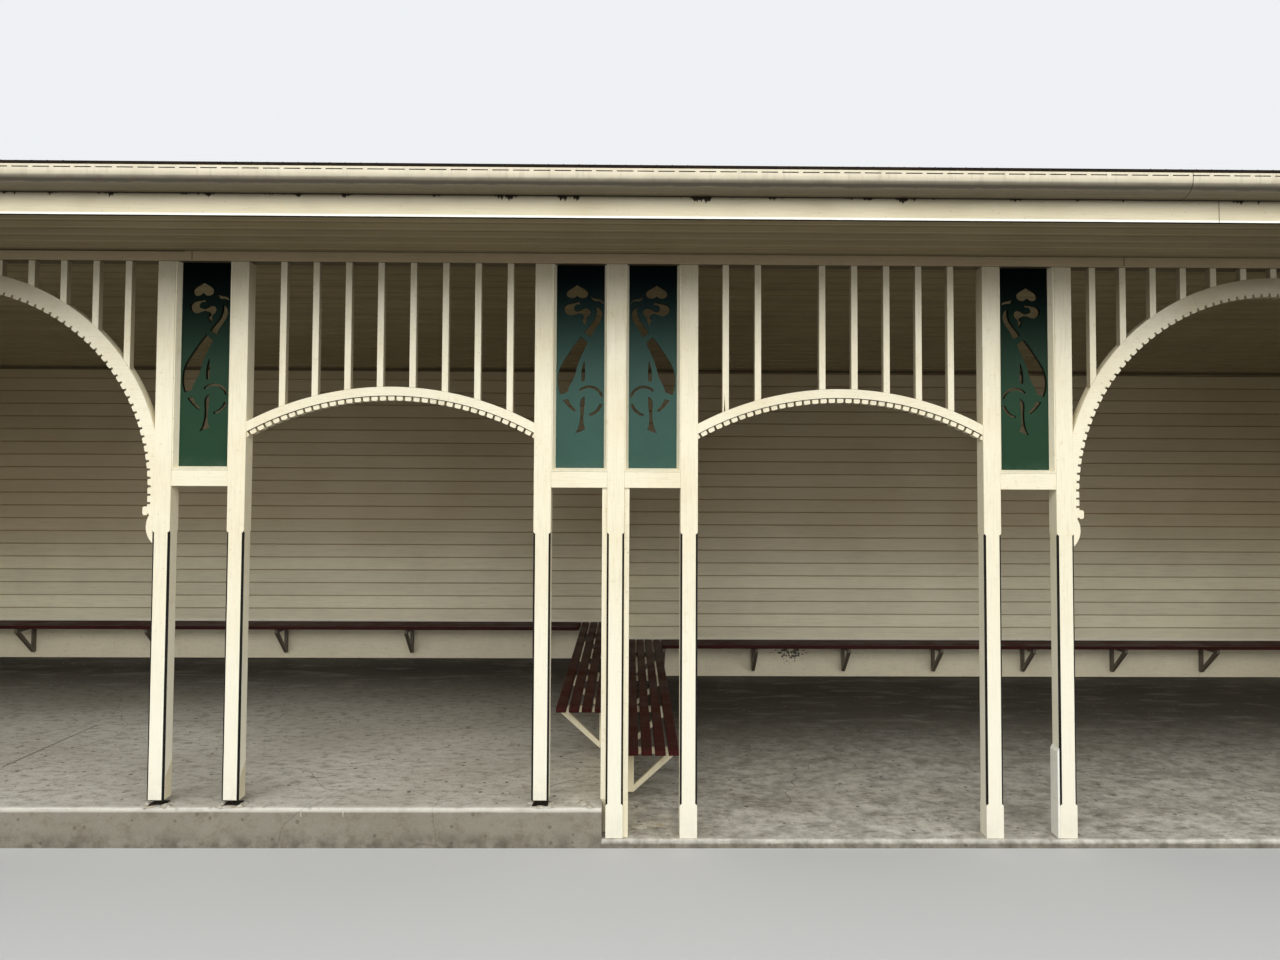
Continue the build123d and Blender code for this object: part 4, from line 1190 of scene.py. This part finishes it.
def mortar_smears():
    """Mortar squeezed out under the left posts' shoes and over the slab's end."""
    draw = random.Random(4)
    bm = bmesh.new()
    for x in post_centres("left_posts"):
        lump(bm, (x, FRONT + 0.012, LEFT_FLOOR), (0.082, 0.022, 0.005), x)
        lump(bm, (x, FRONT + 0.06, LEFT_FLOOR), (0.07, 0.05, 0.004), x + 5)
        for k in range(4):
            side = -1 if k % 2 else 1
            aside = x + side * draw.uniform(0.05, 0.066)
            centre = (aside, FRONT + draw.uniform(0.0, 0.08), LEFT_FLOOR + 0.001)
            size = (draw.uniform(0.008, 0.02), draw.uniform(0.01, 0.03), draw.uniform(0.006, 0.013))
            lump(bm, centre, size, k + x)
    for k in range(4):
        x = SLAB_END - draw.uniform(0.02, 0.12)
        centre = (x, FRONT + draw.uniform(0.01, 0.1), LEFT_FLOOR - 0.0005)
        lump(bm, centre, (draw.uniform(0.015, 0.03), draw.uniform(0.015, 0.03), 0.003), k)
    piece("mortar_smears", bm, PAINTS["mortar"], smooth=True)


REPAIRED_POST = 2
REPAIR_HEIGHT = 0.51
REPAIR_THICK = 0.011
REPAIR_SLANT = 0.02
REPAIR_INSET = 0.004
SPLICED_POSTS = (4, 5)
SPLICE_BACK = 0.2
SPLICE_FRONT = 0.13
SPLICE_INSET = 0.012
SPLICE_THICK = 0.0012


def repairs():
    """A board nailed to the side of a right-hand post, and spliced feet on two left posts."""
    x = post_centres("right_posts")[REPAIRED_POST] - POST / 2
    y = FRONT + REPAIR_INSET
    top = RIGHT_FLOOR + REPAIR_HEIGHT
    out = x - REPAIR_THICK
    outline = ((x, y, RIGHT_FLOOR), (out, y, RIGHT_FLOOR), (out, y, top - REPAIR_SLANT), (x, y, top))
    bm = bmesh.new()
    drawn_out(bm, outline, Vector((0, POST - 2 * REPAIR_INSET, 0)))
    piece("repair_board", bm, painted_timber("repair paint", srgb(246, 243, 230), "z"))
    bm = bmesh.new()
    posts = post_centres("left_posts")
    front, back = FRONT + SPLICE_INSET, POST_BACK - SPLICE_INSET
    for k in SPLICED_POSTS:
        x = posts[k] + POST / 2
        outline = ((x, front, POST_FOOT), (x, back, POST_FOOT), (x, back, POST_FOOT + SPLICE_BACK),
                   (x, front, POST_FOOT + SPLICE_FRONT))
        drawn_out(bm, outline, Vector((SPLICE_THICK, 0, 0)))
    splice = painted_timber("splice paint", srgb(224, 214, 182), "z", dirt=0.8)
    piece("spliced_feet", bm, splice)


SLAT = 0.066
SLAT_GAP = 0.018
SLATS = 4
SLAT_CLEAR = 0.006
BEARERS = (-1.0, 0.0, 1.0)


def bench_screws():
    """Screw heads in the slats of the partition benches over each bearer."""
    draw = random.Random(7)
    bm = bmesh.new()
    for word, side, floor in ENDS:
        for y in BEARERS:
            for k in range(SLATS):
                x = side * (PARTITION + SLAT_CLEAR + SLAT / 2 + k * (SLAT + SLAT_GAP))
                place = Matrix.Translation((x + draw.uniform(-0.004, 0.004), y, floor + SEAT + 0.0002))
                bmesh.ops.create_cone(bm, cap_ends=True, segments=10, radius1=0.005, radius2=0.004,
                                      depth=0.0012, matrix=place)
    piece("bench_screws", bm, PAINTS["steel"])


def post_paint(name, foot, chamfer_foot):
    """Post paint, with dark chamfers from a height up."""
    paint = painted_timber(name, CREAM, "z", foot=foot, eave=0.4, painted_light_low=0.6)
    return with_dark_chamfers(paint, chamfer_foot, LEFT_FLOOR + CHAMFER_TOP)


def finish_nodes():
    """Materials and rounded arrises for the solids."""
    cream_z = painted_timber("upright cream paint", CREAM, "z")
    cream_x = painted_timber("level cream paint", CREAM, "x")
    left = post_paint("left post paint", POST_FOOT, 0.0)
    right = post_paint("right post paint", RIGHT_FLOOR, RIGHT_FLOOR + BASE_BLOCK)
    spindles = with_shaded_sides(painted_timber("spindle paint", CREAM, "z", eave=0.3))
    fascia = painted_timber("fascia paint", srgb(206, 195, 162), "x", dirt=0.9)
    gutter_foot = GUTTER_TOP - GUTTER_HEIGHT
    fascia = with_gutter_dirt_and_shade(fascia, gutter_foot, gutter_foot - SOFFIT)
    # Painted shade: the frieze trim's cream darkened as it lies under the eave
    frieze = painted_timber("frieze paint in painted shade", srgb(186, 166, 130), "x")
    arches = painted_timber("arch paint", CREAM, "x", eave=0.75)
    brackets = with_shaded_back(painted_timber("bracket paint", CREAM, "z"))
    bench = bench_paint()
    arch_names = ["wide_arch_left", "wide_arch_right"] + [f"flat_arch_{k}" for k in range(1, 5)]
    for names, slot, paint, width, segments in (
            (["left_posts"], "cream_paint", left, 0.0018, 1),
            (["centre_post", "right_posts"], "cream_paint", right, 0.0018, 1),
            (["spindles_left", "spindles_right"], "cream_paint", spindles, 0.0015, 1),
            (["partition_trims"], "cream_paint", cream_z, 0.0015, 1),
            (["panel_rails", "barge_boards"], "cream_paint", cream_x, 0.0025, 2),
            (["fascias"], "cream_paint", fascia, 0.003, 2),
            (["frieze_trim"], "cream_paint", frieze, 0.002, 1),
            (arch_names, "cream_paint", arches, 0.003, 2),
            (["back_benches", "partition_benches"], "maroon_paint", bench, 0.004, 2),
            (["bench_brackets"], "cream_paint", brackets, 0.002, 1)):
        for name in names:
            eased(name, paint, width, segments)
    # The middle panels' lighter teal is partly faded paint and partly a painted reflection
    teal = green_board("teal green paint with painted reflection", srgb(50, 80, 70), RAIL_TOP, HEAD)
    bottle = green_board("bottle green paint", srgb(24, 56, 34), RAIL_TOP, HEAD)
    shaded = boards_paint("shaded paint", srgb(96, 84, 60), "Y", FRONT, 0.5)
    walls = ["back_wall_left", "back_wall_right", "end_wall_left", "end_wall_right", "partition_wall"]
    for names, paint in (
            (["post_shoes"], PAINTS["steel"]), (["ridge_cap"], PAINTS["zinc"]), (["panel_beads"], cream_z),
            (["rafters", "battens"], PAINTS["sawn"]), (["head_beam", "scotia"], shaded),
            (["verge_linings", *walls], cream_x), ([f"fretwork_{k}" for k in (1, 2, 3, 6, 7, 8)], bottle),
            (["fretwork_4", "fretwork_5"], teal)):
        for name in names:
            NODES[name].data.materials.clear()
            NODES[name].data.materials.append(paint.material)


SKY_LOW = 1.3
SKY_HIGH = 0.7
SKY_LIT = (0.96, 0.98, 1.0, 1)
SKY_SHOWN = (0.86, 0.88, 0.9, 1)
FLOOR_LIT = (0.17, 0.17, 0.17, 1)
FLOOR_SHOWN = (0.56, 0.56, 0.55, 1)
FLOOR_REACH = 60
LAMP_POWER = 1250
LAMP_SIZE = (22.0, 7.0)
LAMP_PLACE = Vector((0, -10.5, 7.6))
LAMP_AIM = Vector((0, -1.9, 1.4))


def studio():
    """A pale floor, a soft sky brighter low down and a broad lamp in front."""
    mesh = bpy.data.meshes.new("studio_floor")
    bm = bmesh.new()
    bmesh.ops.create_grid(bm, x_segments=1, y_segments=1, size=FLOOR_REACH)
    bm.to_mesh(mesh)
    bm.free()
    floor = bpy.data.objects.new("studio_floor", mesh)
    bpy.context.scene.collection.objects.link(floor)
    paint = Paint("studio floor", FLOOR_LIT)
    paint.over(paint.node("ShaderNodeLightPath").outputs["Is Camera Ray"], FLOOR_SHOWN)
    paint.shade("Roughness", 0.9)
    mesh.materials.append(paint.material)

    world = bpy.data.worlds.new("studio")
    world.use_nodes = True
    bpy.context.scene.world = world
    sky = Graph(world.node_tree)
    up = sky.split(sky.node("ShaderNodeTexCoord").outputs["Generated"])[2]
    strength = sky.ranged(up, 0.0, 1.0, SKY_LOW, SKY_HIGH, kind="LINEAR")
    paths = sky.node("ShaderNodeLightPath").outputs
    seen = sky.maths("MAXIMUM", paths["Is Camera Ray"], paths["Is Transmission Ray"])
    lit = sky.node("ShaderNodeBackground", {"Color": SKY_LIT, "Strength": strength})
    shown = sky.node("ShaderNodeBackground", {"Color": SKY_SHOWN, "Strength": 1.0})
    both = sky.node("ShaderNodeMixShader", {0: seen, 1: lit.outputs[0], 2: shown.outputs[0]})
    sky.put(sky.tree.nodes["World Output"].inputs["Surface"], both.outputs[0])

    lamp = bpy.data.lights.new("front_softbox", "AREA")
    lamp.shape = "RECTANGLE"
    lamp.size, lamp.size_y = LAMP_SIZE
    lamp.energy = LAMP_POWER
    made = bpy.data.objects.new("front_softbox", lamp)
    made.location = LAMP_PLACE
    made.rotation_euler = (LAMP_AIM - LAMP_PLACE).to_track_quat("-Z", "Y").to_euler()
    bpy.context.scene.collection.objects.link(made)


set_camera()
finish_nodes()
inner_walls()
outer_walls()
undersides()
corrugated("roof_sheets_front", "roof_front", EAVE_NOSE, 1)
corrugated("roof_sheets_back", "roof_back", BACK_NOSE, -1)
eave_shade_strips()
roof_screws()
gutters()
arch_joint_shade()
dark_lines()
floor_marks()
worn_slabs()
mortar_smears()
repairs()
bench_screws()
studio()

bpy.context.scene.view_settings.view_transform = "Standard"
